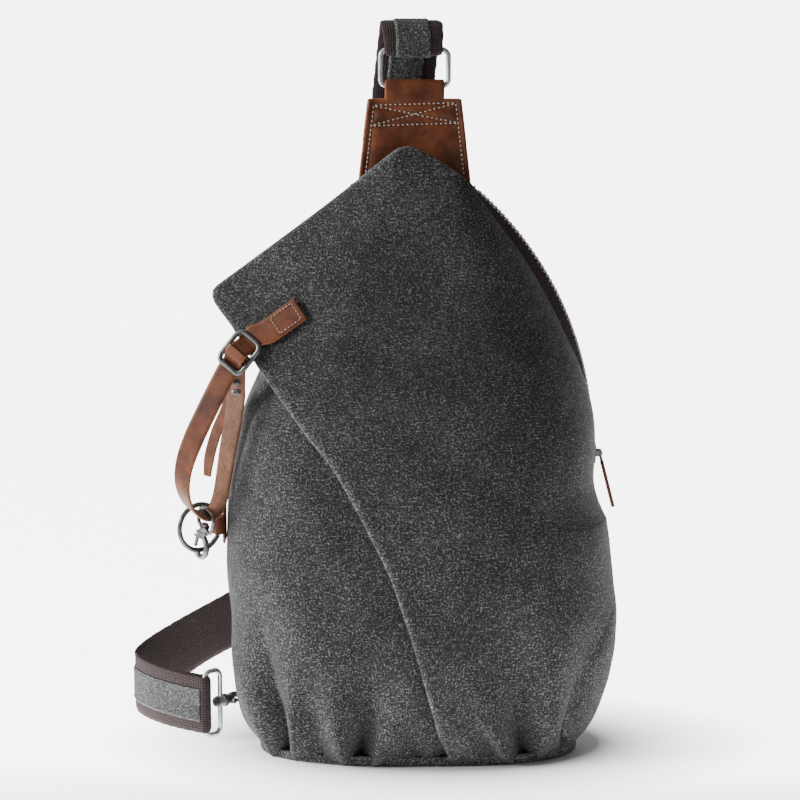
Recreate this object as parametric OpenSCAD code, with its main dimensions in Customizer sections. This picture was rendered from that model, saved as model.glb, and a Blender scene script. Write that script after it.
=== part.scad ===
// Canvas sling bag with leather trim, standing on its base.
// X to the right as seen from the front, Y to the back, Z up, millimetres.
// The origin is the middle of the base, on the ground.

/* [Canvas] */
// Thickness of the canvas panels
canvas_t = 1.6; // [1.2:0.1:1.8]
// Thickness of the folded front flap, two layers of canvas
flap_t = 2; // [2:0.1:2.4]
// Thickness of the foam in the back
foam_t = 3; // [2:0.5:3]
// Thickness of the lining
lining_t = 0.8; // [0.5:0.1:1]

/* [Webbing] */
// Width of the shoulder strap's webbing
webbing_w = 34; // [32:0.5:36]
// Thickness of the webbing
webbing_t = 2; // [1.6:0.1:2]
// Width of the canvas strip sewn along the webbing
strip_w = 19; // [16:1:22]
// Thickness of that strip
strip_t = 0.7; // [0.5:0.1:0.7]

/* [Leather] */
// Thickness of the leather
leather_t = 2; // [1.6:0.1:2]
// Width of the closing strap
closer_w = 12.6; // [10:0.2:12.6]

/* [Hardware] */
// Radius of the wire of the top ring and the strap's loop
wire_r = 1.4; // [1.2:0.1:1.4]
// Radius of the zip's arc, from its centre to the bag's surface
zip_r = 197; // [197:1:197]
// Pitch of the zip's teeth, in degrees round the arc
tooth_pitch = 0.9; // [0.8:0.1:1.2]

/* [Hidden] */
$fn = 48;

canvas = "#4b4b4d";
leather = "#6f3f27";
maroon = "#33201f";
metal = "#8b8a86";
lining_c = "#3a3632";

// ---------- the bag's surface ----------

// Half widths, front depth, back depth and the line of greatest width, each by height
left_half = [[0, 84], [6, 89], [18, 97], [35, 101], [70, 103], [94, 106], [114, 107], [140, 105],
    [169, 100], [197, 94], [213, 87], [240, 78], [262, 69], [290, 54], [310, 41], [322, 33], [345, 24]];
right_half = [[0, 88], [5, 92], [23, 103], [40, 109], [58, 113], [75, 114.5], [93, 113.5], [119, 110.5],
    [140, 107], [152, 103.5]];
front_face = [[0, -50], [8, -56], [20, -61], [60, -65], [120, -66], [180, -61], [220, -55], [265, -41],
    [300, -26], [322, -15], [345, -6]];
back_face = [[0, 50], [100, 50], [150, 48], [200, 42], [265, 32], [300, 26], [322, 21], [342, 11]];
side_line = [[0, -8], [20, -8], [60, 0], [150, 13.5], [152, 13.3], [322, -3.7], [345, -3.7]];
shell_top = 320;
square_front = 0.75;
square_back = 1.08;

// The zip is an arc of a circle in a plane that leans back by this angle
zip_lean = atan(0.1);
zip_centre = [-95, 11.5, 170];
zip_low = -4;
zip_high = 49;
zip_park = -1.5;

function zip_x(z) = zip_centre.x + sqrt(pow(zip_r, 2) - pow(z - zip_centre.z, 2));
function right_w(z) = z < 152 ? lookup(z, right_half) : z < 318 ? zip_x(z) : zip_x(318) - (z - 318) * 0.5;
function left_w(z) = lookup(z, left_half);
function mid_y(z) = lookup(z, side_line);
function front_d(z) = mid_y(z) - lookup(z, front_face);
function back_d(z) = lookup(z, back_face) - mid_y(z);
function spow(v, e) = sign(v) * pow(abs(v), e);
function square_of(a) = sin(a) < 0 ? square_front : square_back;

// A point of the surface at angle a (0 right, 90 back, 180 left, 270 front), inset by d
function skin(a, z, d = 0) = [
    spow(cos(a), square_of(a)) * ((cos(a) > 0 ? right_w(z) : left_w(z)) - d),
    mid_y(z) + spow(sin(a), square_of(a)) * ((sin(a) < 0 ? front_d(z) : back_d(z)) - d),
    z];

// Angles at which the surface meets a given x on the front, or a given distance from side_line
function front_angle(x, z) = x > 0
    ? 360 - acos(min(1, pow(x / right_w(z), 1 / square_front)))
    : 180 + acos(min(1, pow(-x / left_w(z), 1 / square_front)));
function right_front_angle(dy, z) = 360 - asin(min(1, pow(dy / front_d(z), 1 / square_front)));
function right_back_angle(dy, z) = asin(min(1, pow(dy / back_d(z), 1 / square_back)));
function left_back_angle(dy, z) = 180 - right_back_angle(dy, z);

// Seams: the diagonal hem, the crease of the flap, the slot of the zip, the left back seam
hem_x = [[0, 20], [22, 14], [51, 6], [82, -3], [113, -13], [146, -30], [173, -46], [186, -58]];
crease_low = 186;
crease_high = 340;
function crease_x(z) = -58 + (z - crease_low) * 50 / (crease_high - crease_low);
function seam_x(z) = z < crease_low ? lookup(z, hem_x) : crease_x(z) + 2;
function slot(z) = z > 150 ? 8 : 8 + (150 - z) * 0.13;
function top_right_x(z) = 31 - (z - 320) * 1.85;

// ---------- building blocks ----------

function unit(v) = v / norm(v);
function flat(l) = [for (a = l) for (b = a) b];

// A closed sheet between two grids of points of the same size
module sheet(outer, inner) {
    rows = len(outer);
    cols = len(outer[0]);
    n = rows * cols;
    function o(i, j) = i * cols + j;
    function p(i, j) = n + i * cols + j;
    quads = [
        for (i = [0:rows - 2]) for (j = [0:cols - 2]) [o(i, j), o(i + 1, j), o(i + 1, j + 1), o(i, j + 1)],
        for (i = [0:rows - 2]) for (j = [0:cols - 2]) [p(i, j), p(i, j + 1), p(i + 1, j + 1), p(i + 1, j)],
        for (j = [0:cols - 2]) [o(0, j), o(0, j + 1), p(0, j + 1), p(0, j)],
        for (j = [0:cols - 2]) [o(rows - 1, j + 1), o(rows - 1, j), p(rows - 1, j), p(rows - 1, j + 1)],
        for (i = [0:rows - 2]) [o(i + 1, 0), o(i, 0), p(i, 0), p(i + 1, 0)],
        for (i = [0:rows - 2]) [o(i, cols - 1), o(i + 1, cols - 1), p(i + 1, cols - 1), p(i, cols - 1)]];
    polyhedron(flat([flat(outer), flat(inner)]),
        [for (q = quads) each [[q[0], q[1], q[2]], [q[0], q[2], q[3]]]]);
}

// A panel of the shell between two edges, each an angle at a height
module panel(heights, from, to, inset, t, cols = 14) {
    grid = function(d) [for (z = heights) [for (j = [0:cols - 1])
        skin(from(z) + (to(z) - from(z)) * j / (cols - 1), z, d)]];
    sheet(grid(inset), grid(inset + t));
}

// Catmull-Rom curve through hand-placed points, steps to a span
function spline_at(a, b, c, d, t) = 0.5 * (2 * b + (c - a) * t + (2 * a - 5 * b + 4 * c - d) * t * t
    + (3 * b - a - 3 * c + d) * t * t * t);
function spline(p, steps) = [
    for (i = [0:len(p) - 2]) for (k = [0:steps - 1])
        spline_at(p[max(i - 1, 0)], p[i], p[i + 1], p[min(i + 2, len(p) - 1)], k / steps),
    p[len(p) - 1]];

// A flat band along a route: w wide, from face distance lo to hi, side gives its width direction.
// A level band keeps that direction as it is. Rows, if given, cuts the band off after that many.
function band_row(r, s, i, wide, d, level) = let (
    w = is_num(wide) ? wide : wide(i / (len(r) - 1)),
    along = unit(r[min(i + 1, len(r) - 1)] - r[max(i - 1, 0)]),
    across = level ? s[i] : unit(s[i] - (s[i] * along) * along),
    up = unit(cross(along, across)))
    [r[i] - across * w / 2 + up * d, r[i] + across * w / 2 + up * d];
module band(route, sides, w, lo, hi, steps = 3, level = false, rows = 0) {
    r = spline(route, steps);
    s = spline(sides, steps);
    last = rows > 0 ? rows - 1 : len(r) - 1;
    sheet([for (i = [0:last]) band_row(r, s, i, w, hi, level)],
        [for (i = [0:last]) band_row(r, s, i, w, lo, level)]);
}

// A frame with its x axis along xd and its z axis as near zd as that allows
module at(o, xd, zd) {
    x = unit(xd);
    z = unit(zd - (zd * x) * x);
    y = cross(z, x);
    multmatrix([[x.x, y.x, z.x, o.x], [x.y, y.y, z.y, o.y], [x.z, y.z, z.z, o.z], [0, 0, 0, 1]]) children();
}

module rod(a, b, r) {
    d = b - a;
    translate(a) rotate([0, acos(d.z / norm(d)), atan2(d.y, d.x)]) cylinder(r = r, h = norm(d));
}

// A closed rounded rectangle of wire in the xz plane, centre-line size lx by lz
module wire_frame(lx, lz, corner, r) {
    hx = lx / 2;
    hz = lz / 2;
    for (sx = [-1, 1]) {
        translate([sx * hx, 0, -hz + corner]) cylinder(r = r, h = lz - 2 * corner);
        translate([-hx + corner, 0, sx * hz]) rotate([0, 90, 0]) cylinder(r = r, h = lx - 2 * corner);
    }
    for (q = [0:3]) {
        sx = q == 0 || q == 3 ? 1 : -1;
        sz = q < 2 ? 1 : -1;
        translate([sx * (hx - corner), 0, sz * (hz - corner)]) rotate([90, 0, 0])
            rotate([0, 0, q * 90]) rotate_extrude(angle = 90) translate([corner, 0]) circle(r = r);
    }
}

// ---------- shell ----------

shell_rows = [0.8, 5, 12, 22, 38, 58, 80, 104, 128, 150, 172, 194, 216, 238, 258, 276, 292, 306, shell_top];
tip_rows = [for (z = [shell_top:5.5:342]) z];

module back_panel() {
    color(canvas) panel(concat(shell_rows, [326, 332, 338]),
        function(z) right_back_angle(min(slot(z), back_d(z) * 0.6), z),
        function(z) left_back_angle(min(18, back_d(z) * 0.75), z), 0, canvas_t, 16);
}

module back_foam() {
    color("#9a9a96") panel([for (z = [8:32:296]) z],
        function(z) 52, function(z) 128, canvas_t + 0.2, foam_t, 10);
}

module left_panel() {
    color(canvas) panel(shell_rows,
        function(z) left_back_angle(min(18, back_d(z) * 0.75), z) + 0.05,
        function(z) front_angle(seam_x(z) - 0.1, z), 0, canvas_t, 16);
}

module front_panel() {
    color(canvas) panel(concat(shell_rows, [324, 328.5, 333]),
        function(z) front_angle(seam_x(z), z),
        function(z) z < shell_top ? right_front_angle(slot(z), z) : front_angle(top_right_x(z), z),
        0, canvas_t, 16);
}

module right_gusset() {
    color("#3b3b3e") panel([0.8, 6, 14, 26, 44, 66, 92, 120, 146],
        function(z) right_front_angle(slot(z) - 0.1, z),
        function(z) 360 + right_back_angle(slot(z) - 0.1, z), 0, canvas_t, 8);
}

function ground_outline(d) = [for (a = [0:6:354]) let (p = skin(a, 0.8, d)) [p.x, p.y]];

module base_panel() {
    color(canvas) linear_extrude(2) polygon(ground_outline(canvas_t + 0.3));
}

module base_board() {
    color("#77706a") translate([0, 0, 2.3]) linear_extrude(2) polygon(ground_outline(canvas_t + 1.5));
}

module base_piping() {
    color(canvas) panel([0.5, 2.5, 5], function(z) 2, function(z) 358, -1.7, 1.5, 60);
}

module lining() {
    inset = canvas_t + foam_t + 0.5;
    color(lining_c) {
        panel([5.4, 20, 45, 80, 120, 160, 200, 240, 272, 296, 312],
            function(z) right_back_angle(slot(z) + 0.5, z),
            function(z) right_front_angle(slot(z) + 1.6, z), inset, lining_t, 30);
        translate([0, 0, 4.5]) linear_extrude(lining_t) polygon(ground_outline(inset + 1));
    }
}

module inner_pocket() {
    color(lining_c) panel([60, 95, 130, 165], function(z) 62, function(z) 118,
        canvas_t + foam_t + lining_t + 1.5, 0.8, 8);
}

// ---------- flap ----------

flap_edge = [[186, -58], [199, -68], [219, -83], [243, -100], [256, -111], [262, -112], [340, -8]];
flap_rows = [191, 199, 209, 219, 231, 243, 251, 258, 262, 266, 276, 290, 304, 318, 330, 336];
function flap_y(x, z) = let (
    c = crease_x(z),
    run = c - x)
    skin(front_angle(c, z), z).y - 2.5 + 0.2 * run + 0.0013 * run * run;

module front_flap() {
    grid = function(d) [for (z = flap_rows) [for (j = [0:9])
        let (x0 = lookup(z, flap_edge),
            x1 = crease_x(z) - 2.5,
            x = x0 + (x1 - x0) * j / 9)
        [x, flap_y(x, z) + d, z]]];
    color(canvas) sheet(grid(0), grid(flap_t));
}

// The leather tab lies on the flap and folds round the buckle's middle bar
buckle_mid = [-95.5, -39.5, 230];
buckle_along = unit([-0.62, -0.05, -0.78]);
buckle_out = unit([-0.284, -0.916, 0.283]);
buckle_across = cross(buckle_out, buckle_along);
buckle_len = 20;
buckle_wide = closer_w + 3.4;
function near_buckle(u, w) = buckle_mid + buckle_along * u + buckle_out * w;

tab_route = concat([[-62, -39.6, 254.2], [-73.5, -39.1, 246], [-80.5, -38.7, 241.2]],
    [for (p = [[-12, -1.5], [-9.5, -2.1], [-6.5, -1.7], [-3.6, 0.3], [-1.8, 1.9], [0, 2.4], [1.7, 1.7],
        [2.4, 0], [1.7, -1.7], [0, -2.4], [-1.2, -2.6]]) near_buckle(p.x, p.y)]);
tab_sides = [for (p = tab_route) buckle_across];

module flap_tab() {
    color(leather) band(tab_route, tab_sides, function(t) t < 0.3 ? 14.6 : t < 0.36 ? 12.6 : closer_w - 0.4,
        -0.85, 0.85);
}

module flap_buckle() {
    color(metal) at(buckle_mid, buckle_along, buckle_out) {
        rotate([90, 0, 0]) wire_frame(buckle_len, buckle_wide, 3.6, 1.5);
        rod([0, -buckle_wide / 2, 0], [0, buckle_wide / 2, 0], 1.2);
    }
}

closer_route = concat(
    [for (p = [[-1, 4.5], [2.8, 3.6], [5.4, 0.6], [7.8, -2.2], [10, -3.1], [13, -2.9]]) near_buckle(p.x, p.y)],
    [[-108, -38, 209], [-115, -38, 195], [-121.5, -37.5, 181], [-126.5, -36, 167], [-128, -33, 154],
    [-125.5, -29, 143.5], [-120.6, -25, 137.3], [-115.8, -21.6, 135.4], [-111.3, -18.6, 137.6],
    [-108.4, -16, 144.5], [-106.3, -15, 156], [-103.8, -16, 172], [-100.5, -19.5, 189],
    [-98, -25, 204], [-97.6, -30.5, 213], [-97.4, -34, 220], [-97, -35.3, 224.4]],
    [near_buckle(1.5, -4.7)]);
closer_sides = [for (i = [0:23]) let (t = i < 8 ? 0 : i < 12 ? (i - 8) / 4 : i < 15 ? 1 : max(0, (20 - i) / 6))
    (1 - t) * buckle_across + t * [0.54, -0.77, -0.3]];

module flap_strap() {
    color(leather) band(closer_route, closer_sides,
        function(t) closer_w - (t > 0.48 && t < 0.74 ? 2 * min(1, 12 * (t - 0.48), 12 * (0.74 - t)) : 0), -0.9, 0.9);
}

module flap_strap_tail() {
    color(leather) band([[-100.6, -18.8, 208], [-104.6, -11.6, 194], [-110.6, -7.8, 180], [-114.6, -6.8, 166],
        [-116, -7, 155]], [for (i = [0:4]) [0.6, -0.75, -0.2]], 9, -0.8, 0.8);
}

module flap_rivets() {
    color(metal) for (p = [[-98, -32.2, 212.6], [-98.1, -29.4, 206.6]]) at(p, [0, 0, 1], [-0.25, -0.93, 0.26])
        cylinder(r = 1.6, h = 0.9);
}

// ---------- small hook, O-ring and its tab ----------

ring_r = 13;
ring_wire = 1.4;
ring_turn = 34.8;
ring_pivot = [-109.3, -8, 127.5];
small_tilt = 21;

// Origin at the middle of the O-ring, x out of its plane towards the front
module ring_place() {
    translate(ring_pivot) rotate([0, 0, ring_turn]) translate([-ring_r, 0, 0]) rotate([0, 0, -90]) children();
}

// Origin where the hook holds the ring's wire, z up the hook's stem
module small_place() {
    ring_place() translate([0, 0, -ring_r]) rotate([0, small_tilt, 0]) children();
}

module o_ring() {
    color(metal) ring_place() rotate([0, 90, 0]) rotate_extrude() translate([ring_r, 0]) circle(r = ring_wire);
}

module o_ring_tab() {
    color(leather) difference() {
        union() {
            translate([ring_pivot.x, ring_pivot.y, ring_pivot.z - 5]) cylinder(r = 3.8, h = 10);
            translate([-107.7, ring_pivot.y, ring_pivot.z - 11]) cube([1.4, 18, 22]);
        }
        translate([ring_pivot.x, ring_pivot.y, ring_pivot.z - 12]) cylinder(r = 2.6, h = 24);
    }
}

// A swivel hook in the xz plane: its mouth holds a wire at the origin, its stem goes up
module hook_shape(bend, body_r, rise, collar_z, stem_r, head_z) {
    translate([0, 0, rise]) rotate([90, 0, 0]) rotate([0, 0, -135]) rotate_extrude(angle = 225)
        translate([bend, 0]) circle(r = body_r);
    translate([0, 0, rise + bend - body_r * 0.4]) cylinder(r = stem_r * 1.7, h = collar_z - rise - bend);
    translate([0, 0, rise + bend]) cylinder(r = stem_r, h = head_z + 1 - rise - bend);
    translate([0, 0, collar_z - 1.4]) cylinder(r = stem_r * 2.3, h = 1.4);
    translate([0, 0, head_z]) cylinder(r = stem_r * 1.6, h = 1.2);
}

// The gate of such a hook: a bar from its pin beside the stem to just inside the nose, with a thumb tab
module gate_shape(bend, rise, bar_r, pin) {
    tip = [-bend * 0.84, 0, rise - bend * 0.32];
    rod(pin, tip, bar_r);
    translate(tip) sphere(r = bar_r * 1.2);
    translate(pin) rotate([90, 0, 0]) cylinder(r = bar_r * 1.3, h = bar_r * 2.6, center = true);
    translate(pin * 0.55 + tip * 0.45 + [-1.6, 0, 0]) rotate([0, 90, 0])
        cylinder(r = bar_r * 0.7, h = bar_r * 3, center = true);
}

small_bend = 6.2;
small_rise = 2.7;
small_stem = 1.3;
small_pin = [-4.4, 0, 9.6];
small_boss_z = 14;

module small_loop() {
    color(metal) small_place() difference() {
        union() {
            translate([0, 0, small_boss_z + 5.5]) wire_frame(closer_w + 2.4, 11, 3.5, 1.1);
            translate([0, 0, small_boss_z - 1.6]) cylinder(r = 2.7, h = 3.2);
        }
        translate([0, 0, small_boss_z - 3]) cylinder(r = small_stem + 0.08, h = 6);
    }
}

module small_hook() {
    color(metal) small_place() hook_shape(small_bend, 1.6, small_rise, 12.2, small_stem, 15.8);
}

module small_gate() {
    color(metal) small_place() gate_shape(small_bend, small_rise, 1, small_pin);
}

// ---------- zip ----------

// Origin at the arc's centre, the arc in the xy plane, z towards the front
module zip_place() {
    translate(zip_centre) rotate([zip_lean, 0, 0]) rotate([90, 0, 0]) children();
}

// A block on the zip at an angle: r0 to r1 outwards, h0 to h1 across, len along
module zip_block(angle, r0, r1, h0, h1, len) {
    rotate([0, 0, angle]) translate([r0, -len / 2, h0]) cube([r1 - r0, len, h1 - h0]);
}

module zip_tape(side) {
    zip_place() rotate([0, 0, zip_low]) rotate_extrude(angle = zip_high - zip_low, $fn = 180)
        translate([zip_r - 4.2, side > 0 ? 0.9 : -7.6]) square([1, 6.7]);
}

module zip_teeth(side) {
    zip_place() for (a = [zip_low + 0.6:tooth_pitch:zip_high - 0.6])
        zip_block(a + side * tooth_pitch / 4, zip_r - 3.19, zip_r - 1.1,
            side > 0 ? 0.9 : -3, side > 0 ? 3 : -0.9, 1.5);
}

module zip_tape_front() {
    color(maroon) zip_tape(1);
}

module zip_tape_rear() {
    color(maroon) zip_tape(-1);
}

module zip_teeth_front() {
    color(metal) zip_teeth(1);
}

module zip_teeth_rear() {
    color(metal) zip_teeth(-1);
}

module zip_stops() {
    color(metal) zip_place() for (a = [zip_low, zip_high]) for (s = [-1, 1])
        zip_block(a, zip_r - 3.19, zip_r - 1, s > 0 ? 0.9 : -3.2, s > 0 ? 3.2 : -0.9, 0.8);
}

pin_r = zip_r + 3;

module zip_slider() {
    color(metal) zip_place() {
        zip_block(zip_park, zip_r - 0.8, zip_r + 0.8, -4.6, 4.6, 10);
        zip_block(zip_park, zip_r - 6.2, zip_r - 4.6, -4, 4, 9);
        zip_block(zip_park, zip_r - 5, zip_r, -0.6, 0.6, 4);
        for (h = [-3.2, 2.2]) zip_block(zip_park, zip_r + 0.5, zip_r + 4, h, h + 1, 3);
        rotate([0, 0, zip_park]) translate([pin_r, 0, -3]) cylinder(r = 0.7, h = 6);
    }
}

module zip_pull() {
    zip_place() rotate([0, 0, zip_park]) translate([pin_r, 0, 0]) rotate([0, 0, 16]) {
        color(metal) difference() {
            union() {
                translate([0, 0, -1.7]) cylinder(r = 1.7, h = 3.4);
                translate([-0.8, -8, -1.7]) cube([1.6, 7, 3.4]);
            }
            translate([0, 0, -3]) cylinder(r = 0.8, h = 6);
        }
        color(leather) translate([-1, -32, -4]) cube([2, 26, 8]);
    }
}

// ---------- top: patch, ring and the strap's arch ----------

hinge = [0, 4, 371.8];
ring_h = 20.2;
ring_w = webbing_w + 0.6 + 2 * wire_r;
bar_z = hinge.z + ring_h;

function patch_outline(top, low) = [[-25.5, top], [25.5, top], [25.5 + (top - low) * 0.12, low],
    [-25.5 - (top - low) * 0.12, low]];

module top_patch() {
    inner = wire_r + 0.3;
    outer = inner + leather_t;
    color(leather) {
        translate([-16, hinge.y, hinge.z]) rotate([90, 0, 90]) linear_extrude(32) {
            difference() {
                circle(r = outer);
                circle(r = inner);
                translate([-inner, -outer]) square([2 * inner, outer]);
                translate([inner, -outer]) square([leather_t + 1, outer]);
            }
            translate([inner, -28]) square([leather_t, 28]);
        }
        translate([0, hinge.y - inner, 0]) rotate([90, 0, 0]) linear_extrude(leather_t)
            polygon(patch_outline(365, 321.5));
        translate([-16, hinge.y - outer, 360]) cube([32, leather_t, hinge.z - 360]);
    }
}

module top_patch_back() {
    color(leather) translate([0, hinge.y + wire_r + leather_t + 2.3, 0]) rotate([90, 0, 0])
        linear_extrude(1.6) polygon(patch_outline(364, 341));
}

module top_ring() {
    color(metal) translate([hinge.x, hinge.y, hinge.z + ring_h / 2]) wire_frame(ring_w, ring_h, 4, wire_r);
}

// The webbing doubles round the ring's upper bar: outer strand in front, inner strand behind it
fold_r = wire_r + 0.3 + webbing_t / 2;
arch_mid = [8.8, 399.2];
arch_outer = 7.8;
arch_inner = 4.9;
cut_z = 367;
function lean_x(z) = -2 - 0.11 * (408 - z);
function arch_arc(r, from, to, n) = [for (i = [0:n]) let (a = from + (to - from) * i / n)
    [lean_x(arch_mid.y + r * sin(a)), arch_mid.x + r * cos(a), arch_mid.y + r * sin(a)]];
arch_route = concat(
    [[lean_x(cut_z), 18.8, cut_z], [lean_x(377), 17.8, 377], [lean_x(388), 17, 388]],
    arch_arc(arch_outer, 0, 180, 8),
    [for (a = [180:30:360]) [-0.5, hinge.y + fold_r * cos(a), bar_z + fold_r * sin(a)]],
    arch_arc(arch_inner, 165, 0, 7),
    [[lean_x(388), 13.9, 388], [lean_x(377), 14.3, 377], [lean_x(cut_z), 15, cut_z]]);
arch_sides = [for (p = arch_route) [1, 0, 0]];

// The webbing draws in a little where it turns round a bar
draw_in = 2.6;
function narrow(t, from, to) = t > from && t < to ? draw_in * min(1, 6 * (t - from), 6 * (to - t)) : 0;
function arch_wide(t) = webbing_w - narrow(t, 0.26, 0.74);

module strap_arch() {
    color(maroon) band(arch_route, arch_sides, function(t) arch_wide(t), -webbing_t / 2, webbing_t / 2, 2, true);
}

// The strip is on the outer face, which is the one away from the ring, a stitch's height off it
gap_t = 0.06;
module strap_arch_strip() {
    color(canvas) band(arch_route, arch_sides, strip_w, webbing_t / 2 + gap_t, webbing_t / 2 + gap_t + strip_t, 2, true);
}

// ---------- strap behind and below ----------

run_top = [-18, 48.5, 250];
run_low = [-29, 64.5, 120];
run_up = unit(run_top - run_low);
run_side = [0.996, 0, -0.084];

outer_route = [[lean_x(cut_z) - 0.1, 18.9, cut_z - 0.6], [-8.6, 23.5, 345], [-11.5, 34.5, 305],
    [-15.2, 43.2, 276], run_top, (run_top + run_low) / 2, run_low, [-35, 67, 102], [-50, 69, 86],
    [-76, 70, 70], [-103, 69, 56], [-128, 66, 43], [-148, 61, 31], [-159, 54, 24], [-162, 46, 22],
    [-158.5, 36, 21.6], [-152, 25, 21.6], [-143, 14, 21.6], [-133, 4.6, 21.6], [-126, -0.8, 21.6],
    [-120.9, -4.5, 21.6], [-119.3, -5.1, 21.6], [-117.2, -4.3, 21.6], [-116.5, -2.4, 21.6],
    [-117.6, -0.3, 21.6], [-120.4, 1.2, 21.6], [-124.4, 2.6, 21.6], [-131.4, 7, 21.6], [-138, 12.6, 21.6]];
outer_sides = [for (i = [0:len(outer_route) - 1]) i < 3 ? [1, 0, 0] : i < 7 ? run_side
    : i < 13 ? [[0.93, 0, -0.3], [0.75, 0.1, -0.6], [0.48, 0.2, -0.85], [0.4, 0.28, -0.87],
        [0.3, 0.28, -0.9], [0.16, 0.12, -0.98]][i - 7]
    : [0, 0, -1]];
strip_rows = 20 * 3 + 1;

module strap_outer() {
    color(maroon) band(outer_route, outer_sides, function(t) webbing_w - narrow(t, 0.55, 1.1),
        -webbing_t / 2, webbing_t / 2, level = true);
}

module strap_outer_strip() {
    color(canvas) band(outer_route, outer_sides, strip_w, -webbing_t / 2 - gap_t - strip_t, -webbing_t / 2 - gap_t,
        level = true, rows = strip_rows);
}

park_up = 50;
glide_r = 1.5;
bar_y = -5.4;

inner_route = [[lean_x(cut_z), 15, cut_z - 0.6], [-8.6, 19.8, 345], [-11.5, 31, 305], [-15.2, 40, 276],
    run_top - [0, 2.6, 0], run_low + run_up * (park_up + 24) - [0, 2.6, 0]];
inner_sides = [[1, 0, 0], [1, 0, 0], run_side, run_side, run_side, run_side];

module strap_inner() {
    color(maroon) band(inner_route, inner_sides, webbing_w, -webbing_t / 2, webbing_t / 2, level = true);
}

module strap_inner_strip() {
    color(canvas) band(inner_route, inner_sides, strip_w, webbing_t / 2 + gap_t, webbing_t / 2 + gap_t + strip_t,
        level = true);
}

// The adjuster rides on the straight run: x across, y to the back, z up the run

module adjuster_place() {
    at(run_low + run_up * park_up, run_side, run_up) children();
}

module adjuster() {
    leg = webbing_w / 2 + 0.6 + glide_r;
    color(metal) adjuster_place() {
        translate([0, 4, 0]) wire_frame(2 * leg, 27, 3, glide_r);
        rod([-leg, bar_y, 0], [leg, bar_y, 0], glide_r);
        for (s = [-1, 1]) {
            rod([s * leg, bar_y, 0], [s * leg, 4, 0], glide_r);
            translate([s * leg, bar_y, 0]) sphere(r = glide_r);
        }
    }
}

module strap_inner_fold() {
    inner = glide_r + 0.3;
    color(maroon) adjuster_place() translate([-webbing_w / 2, bar_y, 0]) rotate([90, 0, 90])
        linear_extrude(webbing_w) {
            difference() {
                circle(r = inner + webbing_t);
                circle(r = inner);
                translate([-9, 0]) square([18, 9]);
            }
            translate([inner, 0]) square([webbing_t, 23]);
            translate([-inner - webbing_t, 0]) square([webbing_t, 12]);
        }
}

// ---------- lower hook, D-ring and its tab ----------

hook_turn = 41;
hook_hold = [-98.8, 15.3, 21.6];
loop_near = 16;
loop_far = 27;
big_bend = 5.9;
big_rise = 2.2;
big_stem = 1.6;
big_pin = [-4.6, 0, 9.6];

// Origin where the hook holds the D-ring, x away from the strap
module loop_place() {
    translate(hook_hold) rotate([0, 0, hook_turn]) children();
}

// The same place with z up the hook's stem and the hook's plane level
module big_place() {
    loop_place() rotate([0, -90, 0]) rotate([0, 0, 90]) children();
}

module strap_loop() {
    color(metal) difference() {
        union() {
            loop_place() translate([-(loop_near + loop_far) / 2, 0, 0])
                wire_frame(loop_far - loop_near, webbing_w + 0.6 + 2 * wire_r, 4, wire_r);
            big_place() translate([0, 0, loop_near - 2.2]) cylinder(r = 3.2, h = 4.4);
        }
        big_place() translate([0, 0, loop_near - 4]) cylinder(r = big_stem + 0.08, h = 8);
    }
}

module strap_hook() {
    color(metal) big_place() hook_shape(big_bend, 1.8, big_rise, loop_near - 2.5, big_stem, loop_near + 2.5);
}

module strap_gate() {
    color(metal) big_place() gate_shape(big_bend, big_rise, 1.1, big_pin);
}

d_bar = [-89, 23.9, 21.6];
d_wire = 1.5;
d_half = 11;
d_deep = 13;

// Origin on the D-ring's bar, which stands along z, with the bow towards minus x
module d_place() {
    translate(d_bar) rotate([0, 0, hook_turn]) children();
}

module d_ring() {
    color(metal) d_place() {
        translate([0, 0, -d_half]) cylinder(r = d_wire, h = 2 * d_half);
        for (s = [-1, 1]) {
            translate([0, 0, s * d_half]) sphere(r = d_wire);
            translate([-d_deep + d_half, 0, s * d_half]) rotate([0, 90, 0])
                cylinder(r = d_wire, h = d_deep - d_half);
        }
        translate([-d_deep + d_half, 0, 0]) rotate([90, 0, 0]) rotate([0, 0, 90])
            rotate_extrude(angle = 180) translate([d_half, 0]) circle(r = d_wire);
    }
}

module d_ring_tab() {
    color(leather) translate([d_bar.x, d_bar.y, d_bar.z - 9]) difference() {
        union() {
            cylinder(r = 3.6, h = 18);
            rotate([0, 0, 20]) translate([0, -3.2, 0.6]) cube([10.6, 1.8, 16.8]);
        }
        translate([0, 0, -1]) cylinder(r = 1.8, h = 20);
    }
}

back_panel();
back_foam();
front_panel();
front_flap();
left_panel();
right_gusset();
base_panel();
base_board();
base_piping();
lining();
inner_pocket();
zip_tape_front();
zip_tape_rear();
zip_teeth_front();
zip_teeth_rear();
zip_stops();
zip_slider();
zip_pull();
top_patch();
top_patch_back();
top_ring();
strap_arch();
strap_arch_strip();
strap_outer();
strap_outer_strip();
strap_inner();
strap_inner_strip();
adjuster();
strap_inner_fold();
strap_loop();
strap_hook();
strap_gate();
d_ring();
d_ring_tab();
flap_tab();
flap_buckle();
flap_strap();
flap_strap_tail();
flap_rivets();
small_loop();
small_hook();
small_gate();
o_ring();
o_ring_tab();
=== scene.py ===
"""Canvas sling bag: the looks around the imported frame. Working numbers are millimetres."""

import math

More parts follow.
